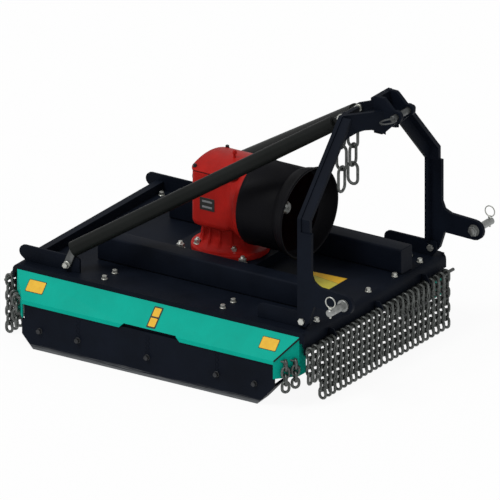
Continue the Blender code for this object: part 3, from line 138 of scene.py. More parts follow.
def mixColors(mask, first, second):
    sides = {6: first if isinstance(first, Wire) else (*first, 1.0), 7: (*second, 1.0)}
    return mask.node("ShaderNodeMix", {"data_type": "RGBA"}, {0: mask, **sides}, 2)


def bump(height, distance, strength):
    return height.node("ShaderNodeBump", {}, {"Height": height, "Distance": distance, "Strength": strength})


def coat(shader, tone, roughness, relief=None, gloss=None):
    feed(shader, "Base Color", tone)
    feed(shader, "Roughness", roughness)
    if relief:
        feed(shader, "Normal", relief)
    if gloss is not None:
        shader.inputs["Specular IOR Level"].default_value = gloss


def makePaint(name, look):
    # Sprayed paint: a faint orange peel, uneven gloss, a little dust on top and scuffed spots
    material, shader, coords = startMaterial(name)
    cloud = noise(coords, 7.0, 4.0, 0.6)
    peel = noise(coords, look["peelScale"])
    specks = noise(coords, 190.0, 3.0, 0.7).clamp(0.66, 0.76)
    normal = Wire(coords.tree, coords.tree.nodes.new("ShaderNodeNewGeometry").outputs["Normal"])
    dusty = upOf(normal).clamp(0.3, 1.0) * noise(coords, 23.0, 5.0, 0.65).clamp(0.35, 0.8) * look["dust"]
    tone = mixColors(cloud.clamp(0.3, 0.7), look["deep"], look["color"])
    tone = mixColors(dusty, tone, look["dustColor"])
    tone = mixColors(specks * look["scuff"], tone, look["scuffColor"])
    if "wearTop" in look:  # rubbed to bare steel up to this height above the ground
        grain = noise(stretch(coords, look["scratches"]), 160.0, 4.0, 0.7)
        worn = (look["wearTop"] - upOf(coords)) * (1.0 / look["wearTop"]) + (grain - 0.5) * 2.2
        worn = worn.clamp(0.0, 0.85)
        tone = mixColors(worn, tone, look["bare"])
        feed(shader, "Metallic", worn * 0.9)
    coat(shader, tone, cloud * look["roughSpread"] + specks * 0.15 + look["rough"],
         bump(peel + specks * 0.4, look["peelDepth"], 0.6), look["gloss"])
    return material


def makeCastPaint():
    # Red enamel over a sand-cast skin
    look = {"color": rgb(172, 30, 24), "deep": rgb(142, 24, 20), "castScale": 260.0, "castDepth": 0.0005}
    material, shader, coords = startMaterial("castRedPaint")
    cloud = noise(coords, 11.0, 4.0, 0.6)
    grain = noise(coords, look["castScale"], 5.0, 0.7) + cells(coords, 420.0) * 0.3
    coat(shader, mixColors(cloud.clamp(0.3, 0.7), look["deep"], look["color"]), cloud * 0.2 + 0.38,
         bump(grain, look["castDepth"], 0.5), 0.08)
    return material


def makeMetal(name, look):
    # Plated or bare steel: cloudy tint, uneven polish, fine scratches
    material, shader, coords = startMaterial(name)
    cloud = noise(coords, look["cloudScale"], 4.0, 0.6)
    scratch = noise(stretch(coords, look["brush"]), 700.0, 3.0, 0.6)
    coat(shader, mixColors(cloud.clamp(0.3, 0.72), look["color"], look["tint"]),
         cloud * 0.22 + scratch * 0.12 + look["rough"], bump(scratch, look["depth"], 0.35))
    shader.inputs["Metallic"].default_value = look["metal"]
    return material


def makePlastic(name, look):
    material, shader, coords = startMaterial(name)
    cloud = noise(coords, 9.0, 3.0)
    coat(shader, mixColors(cloud.clamp(0.3, 0.7), look["deep"], look["color"]), cloud * 0.14 + look["rough"],
         bump(cells(coords, look["grain"]), look["depth"], 0.4), look["gloss"])
    return material


def makePanelPaint(name, color, other):
    # A plain panel, a little cloudy
    material, shader, coords = startMaterial(name)
    cloud = noise(coords, 60.0, 4.0, 0.6)
    tone = mixColors(cloud.clamp(0.25, 0.75), rgb(*color), rgb(*other))
    coat(shader, tone, cloud * 0.15 + 0.35, None, 0.3)
    return material


blackLook = {"color": rgb(17, 22, 32), "deep": rgb(11, 15, 23), "dust": 0.12, "dustColor": rgb(32, 36, 44),
             "scuff": 0.22, "scuffColor": rgb(48, 50, 55), "rough": 0.46, "roughSpread": 0.16,
             "peelScale": 420.0, "peelDepth": 0.00025, "gloss": 0.045}
tubeLook = {**blackLook, "color": rgb(24, 26, 25), "deep": rgb(17, 19, 18), "dustColor": rgb(40, 42, 41),
            "gloss": 0.09, "rough": 0.38}
tealLook = {**blackLook, "color": rgb(4, 166, 146), "deep": rgb(2, 154, 135), "dust": 0.03,
            "dustColor": rgb(80, 176, 162), "scuff": 0.12, "scuffColor": rgb(40, 140, 126), "rough": 0.40,
            "gloss": 0.05}
skidLook = {**blackLook, "wearTop": 0.016, "bare": rgb(104, 106, 108), "scratches": (1.0, 0.06, 3.0)}
guardLook = {"color": rgb(15, 15, 19), "deep": rgb(10, 10, 13), "grain": 900.0, "rough": 0.46,
             "depth": 0.0001, "gloss": 0.07}
rubberLook = {"color": rgb(22, 22, 22), "deep": rgb(14, 14, 14), "grain": 500.0, "rough": 0.62,
              "depth": 0.00015, "gloss": 0.2}


def steel(color, tint, rough=0.24, cloudScale=60.0, brush=(1.0, 1.0, 1.0), metal=0.85):
    return {"color": rgb(*color), "tint": rgb(*tint), "rough": rough, "cloudScale": cloudScale,
            "brush": brush, "metal": metal, "depth": 0.0001}


paints = {
    "black": makePaint("blackPaint", blackLook),
    "tube": makePaint("tubePaint", tubeLook),
    "teal": makePaint("tealPaint", tealLook),
    "skid": makePaint("skidPaint", skidLook),
    "red": makeCastPaint(),
    "zinc": makeMetal("zincPlate", steel((196, 198, 194), (176, 176, 166))),
    # The chain steel is set darker than plain zinc: painted shade for the dark gaps among the hanging links
    "chain": makeMetal("chainZincShaded", steel((104, 107, 105), (68, 71, 69), 0.30, 90.0)),
    "bright": makeMetal("brightSteel",
                        steel((158, 160, 158), (124, 126, 124), brush=(1.0, 1.0, 0.2), metal=0.75)),
    "fork": makeMetal("forkPlate", steel((96, 98, 98), (74, 76, 76), 0.3)),
    "darkSteel": makeMetal("darkSteel", steel((52, 53, 56), (34, 35, 38), 0.34, metal=0.6)),
    "ground": makeMetal("groundSteel", steel((160, 160, 158), (140, 139, 136), 0.20, brush=(1.0, 0.1, 1.0))),
    "blade": makeMetal("bladeSteel", steel((112, 110, 108), (84, 78, 72), 0.38, 30.0)),
    "guard": makePlastic("guardPlastic", guardLook),
    "rubber": makePlastic("sealRubber", rubberLook),
    "yellow": makePanelPaint("yellowPanel", (226, 178, 30), (214, 164, 24)),
    "paleYellow": makePanelPaint("paleYellowPanel", (196, 184, 62), (180, 168, 52)),
    "darkPanel": makePanelPaint("darkPanel", (26, 28, 26), (20, 22, 20)),
    "greyPanel": makePanelPaint("greyPanel", (120, 122, 124), (102, 104, 106)),
}
print("materials made:", len(paints))


# Mesh helpers: everything is drawn in place, with each object at the origin
def meshFrom(name, bm):
    mesh = bpy.data.meshes.new(name)
    bm.to_mesh(mesh)
    bm.free()
    return mesh


def linked(name, data):
    made = bpy.data.objects.new(name, data)
    bpy.context.collection.objects.link(made)
    return made


def modify(piece, kind, **values):
    made = piece.modifiers.new(kind.lower(), kind)
    for key, value in values.items():
        setattr(made, key, value)


def finishPiece(name, bm, paint, body="frame", replaces=(), sharp=32):
    bmesh.ops.recalc_face_normals(bm, faces=bm.faces)
    return placeMesh(name, meshFrom(name, bm), paint, body, replaces, sharp)


def placeMesh(name, mesh, paint, body, replaces, sharp=32):
    mesh.name = name
    piece = linked(name, mesh)
    mesh.materials.clear()
    mesh.materials.append(paints[paint])
    mesh.shade_smooth()
    mesh.set_sharp_from_angle(angle=math.radians(sharp))
    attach(piece, body)
    if replaces:
        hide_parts(*replaces)
    return piece


def applyModifiers(piece):
    bpy.context.view_layer.update()
    shown = piece.evaluated_get(bpy.context.evaluated_depsgraph_get())
    mesh = bpy.data.meshes.new_from_object(shown)
    piece.modifiers.clear()
    piece.data = mesh


def cutHoles(piece, cutter):
    # Takes a closed shape out of a piece and leaves no trace of the cutter
    bmesh.ops.recalc_face_normals(cutter, faces=cutter.faces)
    tool = linked("cutter", meshFrom("cutter", cutter))
    modify(piece, "BOOLEAN", operation="DIFFERENCE", solver="EXACT", use_self=True, object=tool)
    applyModifiers(piece)
    bpy.data.objects.remove(tool)
    piece.data.shade_smooth()
    piece.data.set_sharp_from_angle(angle=math.radians(30))


def aimed(origin, direction, up=None):
    # A matrix whose Z runs along direction
    along = Vector(direction).normalized()
    guide = Vector(up) if up else (Vector((0, 0, 1)) if abs(along.z) < 0.9 else Vector((0, 1, 0)))
    side = guide.cross(along).normalized()
    rise = along.cross(side)
    return Matrix(((side.x, rise.x, along.x, origin[0]), (side.y, rise.y, along.y, origin[1]),
                   (side.z, rise.z, along.z, origin[2]), (0, 0, 0, 1)))


def bridge(bm, rings, wrap=False, capped=False):
    # Quads between neighbouring rings with equal counts; wrap also joins the last to the first
    for low, high in zip(rings, rings[1:] + (rings[:1] if wrap else [])):
        for index in range(len(low)):
            beyond = (index + 1) % len(low)
            bm.faces.new((low[index], low[beyond], high[beyond], high[index]))
    if capped:
        bm.faces.new(rings[0][::-1])
        bm.faces.new(rings[-1])


def addLoft(bm, loops):
    # Closed loops with equal counts, joined in turn and capped
    bridge(bm, [[bm.verts.new(spot) for spot in loop] for loop in loops], False, True)


def addSlab(bm, outline, levels):
    # An outline in X and Y, carried up through the levels
    addLoft(bm, [[(x, y, z) for x, y in outline] for z in levels])


def roundedLoop(halfX, yLow, yHigh, corner, steps=5):
    loop = []
    for cx, cy, start in ((1, 1, 0), (-1, 1, 90), (-1, -1, 180), (1, -1, 270)):
        for step in range(steps + 1):
            angle = math.radians(start + 90 * step / steps)
            x = cx * (halfX - corner) + corner * math.cos(angle)
            y = (yHigh - corner if cy > 0 else yLow + corner) + corner * math.sin(angle)
            loop.append((x, y))
    return loop


def around(count, turn=0.0):
    angles = [math.tau * (step + turn) / count for step in range(count)]
    return [(math.cos(angle), math.sin(angle)) for angle in angles]


def addLathe(bm, profile, place, sides, turn=0.0):
    # Rings of (radius, height) stacked along Z; a zero radius closes the shape
    rings = []
    for radius, height in profile:
        spots = around(sides, turn) if radius else [(0.0, 0.0)]
        rings.append([bm.verts.new(place @ Vector((radius * x, radius * y, height))) for x, y in spots])
    for low, high in zip(rings, rings[1:]):
        for side in range(sides):
            beyond = (side + 1) % sides
            if len(low) == 1:
                bm.faces.new((low[0], high[beyond], high[side]))
            elif len(high) == 1:
                bm.faces.new((low[side], low[beyond], high[0]))
            else:
                bm.faces.new((low[side], low[beyond], high[beyond], high[side]))
    return rings


def addRingLathe(bm, profile, place, sides):
    # As addLathe, but the profile is closed on itself, round a hole
    rings = addLathe(bm, profile, place, sides)
    bridge(bm, [rings[-1], rings[0]])


def addSweep(bm, points, radius, sides=8, closed=False, square=None):
    # A round wire along points; square gives the plane's normal of a flat closed path
    count = len(points)
    rings = []
    guide = Vector(square) if square else None
    for index, point in enumerate(points):
        before = points[(index - 1) % count] if closed or index > 0 else point
        after = points[(index + 1) % count] if closed or index < count - 1 else point
        along = (Vector(after) - Vector(before)).normalized()
        if guide is None:
            guide = Vector((0, 0, 1)) if abs(along.z) < 0.9 else Vector((1, 0, 0))
        side = along.cross(guide).normalized()
        rise = side.cross(along).normalized()
        guide = Vector(square) if square else rise
        spots = [Vector(point) + side * cos * radius + rise * sin * radius for cos, sin in around(sides)]
        rings.append([bm.verts.new(spot) for spot in spots])
    bridge(bm, rings, closed, not closed)


def stadium(centre, across, along, halfWidth, halfLength, steps=6):
    # The centre line of an oval chain link
    points = []
    straight = halfLength - halfWidth
    for end, start in ((1, 0.0), (-1, math.pi)):
        for step in range(steps + 1):
            angle = start + math.pi * step / steps
            offset = Vector(across) * halfWidth * math.cos(angle)
            offset += Vector(along) * (end * straight + halfWidth * math.sin(angle))
            points.append(Vector(centre) + offset)
    return points


fastener = {"headHeight": 0.62, "chamfer": 0.12, "washerRadius": 1.22, "washerHeight": 0.16,
            "washerEdge": 0.25, "threadRadius": 0.52, "turns": 4}


def addBolt(bm, origin, direction, size, thread=0.0):
    # A hex head or nut on a washer; size is measured across its corners, thread is how far it sticks out
    f = fastener
    place = aimed(origin, direction)
    radius = size / 2
    base, outer = size * f["washerHeight"], radius * f["washerRadius"]
    edge = base * f["washerEdge"]
    washer = [(0.0, 0.0), (outer, 0.0), (outer, base - edge), (outer - edge, base), (0.0, base)]
    addLathe(bm, washer, place, 20)
    top, cut = base + size * f["headHeight"], size * f["chamfer"]
    addLathe(bm, [(0.0, base), (radius, base), (radius, top - cut * 0.6), (radius - cut, top), (0.0, top)],
             place, 6, 0.25)
    if thread:
        core = radius * f["threadRadius"]
        profile = [(0.0, top - 0.0005)]
        for turn in range(f["turns"]):
            low = top + thread * turn / f["turns"]
            profile += [(core, low), (core * 0.9, low + thread * 0.5 / f["turns"])]
        tip = top + thread * 1.08
        addLathe(bm, profile + [(core, top + thread), (core * 0.8, tip), (0.0, tip)], place, 12)


def addPanel(bm, place, width, height, thickness, corner, bevel=0.0004):
    # A thin plate with round corners and a softened rim, lying on the XY plane of place
    loops = []
    for inset, level in ((0.0, 0.0), (0.0, thickness - bevel), (bevel, thickness)):
        rim = roundedLoop(width / 2 - inset, inset - height / 2, height / 2 - inset, corner - inset, 3)
        loops.append([place @ Vector((x, y, level)) for x, y in rim])
    addLoft(bm, loops)


def addPrism(bm, place, outline, thickness, bevel=0.0008):
    # A flat outline on the XY plane of place, both rims softened
    middle = Vector((sum(x for x, _ in outline) / len(outline), sum(y for _, y in outline) / len(outline)))
    loops = []
    for inset, level in ((bevel, 0.0), (0.0, bevel), (0.0, thickness - bevel), (bevel, thickness)):
        rim = [Vector(spot) + (middle - Vector(spot)).normalized() * inset for spot in outline]
        loops.append([place @ Vector((*spot, level)) for spot in rim])
    addLoft(bm, loops)


def hullOutline(first, firstRadius, second, secondRadius, steps=10):
    # The outline of a strap between two round ends
    first, second = Vector(first), Vector(second)
    along = math.atan2(second.y - first.y, second.x - first.x)
    lean = math.asin((firstRadius - secondRadius) / (second - first).length)
    outline = []
    quarter = math.pi / 2
    for centre, radius, start, sweep in ((second, secondRadius, along - quarter + lean, math.pi - 2 * lean),
                                         (first, firstRadius, along + quarter - lean, math.pi + 2 * lean)):
        for step in range(steps + 1):
            angle = start + sweep * step / steps
            outline.append((centre.x + radius * math.cos(angle), centre.y + radius * math.sin(angle)))
    return outline


# CAD nodes whose shape is right take a finish, and plain plates also get softened edges
softEdge = {"width": 0.0012, "segments": 2, "merge": 0.00002, "flat": 0.5, "sharper": 35}
plainPlates = {
    "black": ["side_wall_left", "side_wall_right", "rear_rail", "rear_bracket_left", "rear_bracket_right",
              "front_bracket_left", "front_bracket_right", "gearbox_base_plate", "mast_frame", "deck_plate"],
    "zinc": ["mast_foot_bolt_left", "mast_foot_bolt_right"],
    "red": ["breather_plug"],
}


def softened(node, paint, pastY=None, shiftY=0.0):
    mesh = nodes[node].data.copy()
    bm = bmesh.new()
    bm.from_mesh(mesh)
    for vert in bm.verts:  # shiftY draws the end in front of pastY out
        if pastY is not None and vert.co.y < pastY:
            vert.co.y += shiftY * min(1.0, abs(abs(vert.co.x) - hoodEnd["innerX"]) / hoodEnd["wide"])
    bmesh.ops.remove_doubles(bm, verts=bm.verts, dist=softEdge["merge"])
    bmesh.ops.dissolve_limit(bm, angle_limit=math.radians(softEdge["flat"]), verts=bm.verts, edges=bm.edges)
    bm.to_mesh(mesh)
    bm.free()
    piece = placeMesh("soft_" + node, mesh, paint, "frame", (node,))
    modify(piece, "BEVEL", width=softEdge["width"], segments=softEdge["segments"], limit_method="ANGLE",
           angle_limit=math.radians(softEdge["sharper"]), harden_normals=True)


for paint, names in plainPlates.items():
    for node in names:
        softened(node, paint)

curtainRail = {"half": 0.362, "thickness": 0.004, "behind": 0.0210, "z": (0.1520, 0.1900)}


def buildCurtainRail(node, end):
    # A flat bar behind the flange, level with the curtain's first links
    face = middleOf(node, 1) - end * curtainRail["behind"]
    back = face - end * curtainRail["thickness"]
    half = curtainRail["half"]
    bm = bmesh.new()
    addSlab(bm, ((-half, face), (half, face), (half, back), (-half, back)), curtainRail["z"])
    finishPiece(node + "_rail", bm, "black", sharp=30)


hoodEnd = {"reach": 0.0070, "skidReach": 0.0090, "pastY": -0.30, "wide": 0.061, "innerX": 0.3718,
           "lean": 0.934, "thickness": 0.004, "inner": 0.3360, "outer": 0.3725, "bottom": 0.090, "top": 0.198,
           "seam": 0.0026, "seamOut": 0.0010, "foldY": 0.057, "foldZ": 0.1440}
cornerPlate = {"inner": 0.3640, "outer": 0.3716, "y": (-0.4345, -0.3900), "z": (0.1900, 0.2225), "slant": 0.6}


def buildHood(side, name):
    # The slope is one sheet; its slanted end runs on under the deck to the front flange
    h, c = hoodEnd, cornerPlate
    node = "side_hood_" + name
    low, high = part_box(node)
    softened(node, "teal", h["pastY"], -h["reach"])
    innerX, outerX = sorted((abs(low[0]), abs(high[0])))
    sheet, shadowLine, corner = bmesh.new(), bmesh.new(), bmesh.new()
    front = [(side * x, low[1] + max(0.0, x - innerX) * h["lean"]) for x in (h["inner"], h["outer"])]
    back = [(x, y + h["thickness"]) for x, y in front[::-1]]
    addSlab(sheet, front + back, (h["bottom"], h["top"]))
    finishPiece("hood_end_" + name, sheet, "teal", sharp=30)
    foldY = low[1] + h["foldY"] - h["reach"]
    # Painted shade: a dark bead in the rubber paint runs along the fold between the slope and the slanted
    # end, standing for the shadow gap at that joint
    addSweep(shadowLine, [(side * (outerX - 0.002), foldY - h["seamOut"], h["foldZ"]),
                      (side * innerX, low[1] - h["seamOut"], high[2] - 0.0030)], h["seam"], 10)
    finishPiece("hood_shadow_line_" + name, shadowLine, "rubber", sharp=40)
    slantY = c["y"][0] + (c["outer"] - c["inner"]) * c["slant"]
    addSlab(corner, [(side * c["inner"], c["y"][0]), (side * c["outer"], slantY),
                     (side * c["outer"], c["y"][1]), (side * c["inner"], c["y"][1])], c["z"])
    finishPiece("corner_plate_" + name, corner, "black", sharp=30)


beamShape = {"wall": 0.005, "round": 0.006, "innerRound": 0.0015, "rim": 0.0012, "steps": 4, "innerX": 0.158,
             "rearY": 0.3685, "leftFront": -0.4215, "rightFront": -0.3265}


def buildBeam(side, name):
    # A rolled box section with round corners, its front end welded shut; the right one is seen to be shorter
    b = beamShape
    node = "deck_beam_" + name
    low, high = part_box(node)
    outerX = max(abs(low[0]), abs(high[0]))
    middleX, middleZ = side * (outerX + b["innerX"]) / 2, (low[2] + high[2]) / 2
    halfX, halfZ = (outerX - b["innerX"]) / 2, (high[2] - low[2]) / 2
    front, rear, wall = b[name + "Front"], b["rearY"], b["wall"]
    loops = []
    for y, inset, corner in ((front, b["rim"], b["round"]), (front + b["rim"], 0.0, b["round"]),
                             (rear, 0.0, b["round"]), (rear, wall, b["innerRound"]),
                             (front + wall, wall, b["innerRound"])):
        rim = roundedLoop(halfX - inset, inset - halfZ, halfZ - inset, corner, b["steps"])
        loops.append([(middleX + x, y, middleZ + z) for x, z in rim])
    bm = bmesh.new()
    addLoft(bm, loops)
    finishPiece("box_beam_" + name, bm, "black", replaces=(node,), sharp=30)


plainFinish = {
    "black": ["rotor_disc"],
    "zinc": ["rotor_nut", "blade_bolt_1", "blade_bolt_2", "blade_bolt_3", "blade_bolt_4"],
    "ground": ["output_shaft", "crown_wheel", "output_pinion", "input_front_bearing", "input_rear_bearing",
               "output_lower_bearing", "output_upper_bearing"],
    "blade": ["blade_1", "blade_2", "blade_3", "blade_4"],
    "rubber": ["input_seal", "output_seal"],
}
for paint, names in plainFinish.items():
    for node in names:
        mesh = nodes[node].data
        mesh.materials.clear()
        mesh.materials.append(paints[paint])
print("plates and plain nodes finished")

for side, name in ((1, "left"), (-1, "right")):
    softened("skid_" + name, "skid", hoodEnd["pastY"], -hoodEnd["skidReach"])
    buildHood(side, name)
    buildBeam(side, name)
buildCurtainRail("front_chains", -1)
buildCurtainRail("rear_chains", 1)
print("hoods and beams built")

# The gearbox: a sand casting with ribs, a waisted foot and a round front, under an arched sheet lid
casting = {"halfX": 0.0955, "rearY": 0.0655, "frontY": -0.070, "bottom": 0.342, "top": 0.5105, "round": 0.020,
           "underside": ((0.0, 0.010), (0.006, 0.003), (0.016, 0.0)), "axisZ": 0.4205, "throatSides": 48,
           "discRadius": 0.1225, "discY": (-0.097, -0.1095), "squareness": 7, "flangeRadius": 0.104,
           "flangeHeight": 0.0185, "noseY": -0.024, "noseRadius": 0.102, "ribs": 14, "ribReach": 0.080,
           "ribRoot": 0.045, "ribTop": 0.362, "ribHalf": 0.0042, "ribsY": -0.006, "footY": -0.010,
           "foot": ((0.0, 0.270), (0.096, 0.270), (0.085, 0.279), (0.076, 0.292), (0.071, 0.312),
                    (0.070, 0.350), (0.0, 0.350)),
           "rearCap": ((0.0, 0.0), (0.043, 0.0), (0.043, 0.010), (0.039, 0.013), (0.026, 0.013),
                       (0.023, 0.0165), (0.0, 0.0165)),
           "capIn": 0.004, "voxel": 0.0024, "relax": 0.5, "rounds": 5}


def buildCasting():
    c = casting
    bm = bmesh.new()
    at = Matrix.Translation((0, gearY, 0))
    body = []
    for z, shrink in [(c["bottom"] + rise, shrink) for rise, shrink in c["underside"]] + [(c["top"], 0.0)]:
        loop = roundedLoop(c["halfX"] - shrink, c["frontY"] + shrink, c["rearY"] - shrink, c["round"])
        body.append([at @ Vector((x, y, z)) for x, y in loop])
    addLoft(bm, body)
    throat = []
    middleZ, halfZ = (c["bottom"] + c["top"]) / 2 + 0.003, (c["top"] - c["bottom"]) / 2 - 0.003
    power = c["squareness"]
    for y, share in ((c["frontY"] + 0.012, 0.0), (c["frontY"] - 0.004, 0.22), (c["discY"][0] + 0.008, 0.62),
                     (c["discY"][0], 1.0), (c["discY"][1], 1.0)):  # from the box's front to the round disc
        loop = []
        for cos, sin in around(c["throatSides"]):
            square = 1.0 / (abs(cos) ** power + abs(sin) ** power) ** (1 / power)
            boxX, boxZ = (c["halfX"] - 0.001) * square * cos, middleZ + halfZ * square * sin
            roundX, roundZ = c["discRadius"] * cos, c["axisZ"] + c["discRadius"] * sin
            loop.append(at @ Vector((boxX + (roundX - boxX) * share, y, boxZ + (roundZ - boxZ) * share)))
        throat.append(loop)
    addLoft(bm, throat)
    addLathe(bm, c["foot"], at @ Matrix.Translation((0, c["footY"], 0)), 56)
    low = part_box("gearbox_base_plate")[1][2] + 0.0003
    top = low + c["flangeHeight"]
    for y, radius in ((0.0, c["flangeRadius"]), (c["noseY"], c["noseRadius"])):
        profile = [(0.0, low), (radius, low), (radius, top - 0.0015), (radius - 0.002, top), (0.0, top)]
        addLathe(bm, profile, at @ Matrix.Translation((0, y, 0)), 72)
    reach, root = c["ribReach"], c["ribRoot"]
    outline = [(root, low + 0.012), (reach + 0.014, low + 0.012), (reach + 0.003, low + 0.030),
               (reach - 0.001, low + 0.060), (reach - 0.004, c["ribTop"]), (root, c["ribTop"])]
    stand = Matrix.Translation((0, c["ribHalf"], 0)) @ Matrix.Rotation(math.pi / 2, 4, "X")
    for rib in range(c["ribs"]):
        turn = Matrix.Rotation(math.tau * (rib + 0.5) / c["ribs"], 4, "Z")
        addPrism(bm, at @ Matrix.Translation((0, c["ribsY"], 0)) @ turn @ stand, outline, 2 * c["ribHalf"])
    addLathe(bm, c["rearCap"], aimed((0, gearY + c["rearY"] - c["capIn"], c["axisZ"]), (0, 1, 0)), 40)
    piece = finishPiece("gearbox_casting", bm, "red", replaces=("gearbox_housing",), sharp=50)
    modify(piece, "REMESH", mode="VOXEL", voxel_size=c["voxel"], use_smooth_shade=True)
    modify(piece, "SMOOTH", factor=c["relax"], iterations=c["rounds"])
    applyModifiers(piece)
    piece.data.shade_smooth()


cover = {"halfX": 0.0965, "rearY": 0.0665, "frontY": -0.0895, "bottom": 0.5128, "edge": 0.5165,
         "crest": 0.5360, "round": 0.019, "longSide": 0.03, "parts": 12, "gasketIn": 0.0006,
         "boltSize": 0.011, "boltInset": 0.0115, "boltSink": 0.0012,
         "rings": ((1.0, None), (1.0, 0.0018), (0.985, 0.0004), (0.9, 0.0), (0.75, 0.0), (0.5, 0.0),
                   (0.25, 0.0))}  # size of each ring, and how far it lies under the arch


def coverHeight(x):
    return cover["edge"] + (cover["crest"] - cover["edge"]) * (1 - (x / cover["halfX"]) ** 2)


def buildCover():
    # A pressed lid: level along the drive line, arched across it, over a dark gasket
    c = cover
    bm = bmesh.new()
    rim = []
    corners = roundedLoop(c["halfX"], c["frontY"], c["rearY"], c["round"], 6)
    for (x, y), (nextX, nextY) in zip(corners, corners[1:] + corners[:1]):
        parts = c["parts"] if math.hypot(nextX - x, nextY - y) > c["longSide"] else 1
        rim += [(x + (nextX - x) * step / parts, y + (nextY - y) * step / parts) for step in range(parts)]
    middleY = (c["frontY"] + c["rearY"]) / 2
    rings = []
    for scale, drop in c["rings"]:
        ring = []
        for x, y in rim:
            px, py = x * scale, middleY + (y - middleY) * scale
            z = c["bottom"] if drop is None else coverHeight(px) - drop
            ring.append(bm.verts.new((px, gearY + py, z)))
        rings.append(ring)
    bridge(bm, rings)
    crest = bm.verts.new((0, gearY + middleY, c["crest"]))
    for index in range(len(rim)):
        bm.faces.new((rings[-1][index], rings[-1][(index + 1) % len(rim)], crest))
    bm.faces.new(rings[0][::-1])
    finishPiece("gearbox_lid", bm, "red", replaces=("gearbox_cover",), sharp=28)
    gasket, bolts = bmesh.new(), bmesh.new()
    inset = c["gasketIn"]
    loop = roundedLoop(c["halfX"] - inset, c["frontY"] + inset, c["rearY"] - inset, c["round"], 6)
    addSlab(gasket, [(x, gearY + y) for x, y in loop], (casting["top"] + 0.0002, c["bottom"] - 0.0002))
    finishPiece("lid_gasket", gasket, "rubber", sharp=40)
    for x in (-1, 1):
        for y in (c["frontY"] + c["boltInset"], c["rearY"] - c["boltInset"]):
            spot = x * (c["halfX"] - c["boltInset"])
            addBolt(bolts, (spot, gearY + y, coverHeight(spot) - c["boltSink"]), (0, 0, 1), c["boltSize"])
    finishPiece("lid_bolts", bolts, "darkSteel", sharp=25)


guard = {"backY": -0.1100, "stepY": -0.2365, "mouthY": -0.2787, "radius": 0.1250, "mouthWide": 0.1475,
         "mouthHigh": 0.1300, "wall": 0.0035, "lip": 0.0035, "sides": 96}


def buildGuard():
    # A bell of black plastic: straight barrel, a groove, then a mouth that flares more to the sides
    g = guard
    axisZ, wall = casting["axisZ"], g["wall"]
    back, step, mouth = g["backY"], g["stepY"], g["mouthY"]
    outside = [(back, 0.0, 0.0), (back - 0.002, 0.0015, 0.0), (back - 0.016, 0.0015, 0.0),
               (back - 0.019, 0.0, 0.0), (step + 0.006, 0.0, 0.0), (step + 0.003, -0.0022, 0.0),
               (step, -0.0022, 0.02), (step - 0.003, 0.0, 0.10), (step - 0.015, 0.001, 0.46),
               (step - 0.030, 0.001, 0.82), (mouth + 0.004, 0.001, 0.97)]  # along Y, rise, share of the flare
    lip = []
    for part in range(7):
        angle = math.pi * (part / 6) - math.pi / 2
        lip.append((mouth + 0.0005 - g["lip"] * math.cos(angle), 0.0010 - g["lip"] * math.sin(angle), 1.0))
    inside = [(y, rise - wall * 1.1, flare) for y, rise, flare in outside[::-1] if y < back - 0.001]
    bm = bmesh.new()
    rings = []
    for y, rise, flare in outside + lip + inside + [(back, -wall, 0.0)]:
        wide = g["radius"] + (g["mouthWide"] - g["radius"]) * flare + rise
        high = g["radius"] + (g["mouthHigh"] - g["radius"]) * flare + rise
        spots = [(wide * cos, gearY + y, axisZ + high * sin) for cos, sin in around(g["sides"])]
        rings.append([bm.verts.new(spot) for spot in spots])
    bridge(bm, rings, True)
    finishPiece("drive_bell", bm, "guard", replaces=("drive_guard",), sharp=40)


driveShaft = {"endY": -0.2085, "splineY": -0.128, "radius": 0.0185, "root": 0.0152, "splines": 6,
              "toothShare": 0.55, "grooveY": -0.186, "bodyRadius": 0.0168, "sides": 72}


def buildDriveShaft():
    # The splined stub that the tractor's shaft slides onto, with its locking groove and centre drilling
    d = driveShaft
    axisZ = middleOf("input_shaft", 2)
    rear, spline, groove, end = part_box("input_shaft")[1][1] - gearY, d["splineY"], d["grooveY"], d["endY"]
    stations = [(rear, 0.013), (rear - 0.0015, 0.0145), (0.045, 0.0145), (0.044, 0.0165),
                (spline + 0.002, 0.0165), (spline, d["bodyRadius"]), (spline - 0.004, None),
                (groove + 0.005, None), (groove + 0.0035, 0.0148), (groove - 0.0035, 0.0148),
                (groove - 0.005, None), (end + 0.003, None), (end, 0.0140), (end, 0.0048),
                (end + 0.004, 0.0022)]
    loops = []
    for y, radius in stations:  # no radius of its own where the splines are
        loop = []
        for side, (cos, sin) in enumerate(around(d["sides"])):
            tooth = (side * d["splines"] / d["sides"]) % 1.0 < d["toothShare"]
            reach = radius or d["radius" if tooth else "root"]
            loop.append((reach * cos, gearY + y, axisZ + reach * sin))
        loops.append(loop)
    bm = bmesh.new()
    addLoft(bm, loops)
    finishPiece("splined_shaft", bm, "bright", "input_drive", ("input_shaft",), 28)


buildCasting()
buildCover()
buildGuard()
buildDriveShaft()
print("gearbox, lid, bell and splined shaft built")

# Diagonal braces: a tube capped at both ends, with plated forks and their bolts
brace = {"radius": 0.0225, "forkCheek": 0.005, "forkGap": 0.0006, "eyeRadius": 0.0118, "rootRadius": 0.0108,
         "rootIn": 0.012, "lowShift": (0, -0.012, 0.046), "highShift": (0, -0.006, -0.003), "highTrim": 0.036,
         "plateHalf": 0.004, "boltSize": 0.0180, "thread": 0.005, "shank": 0.0058}


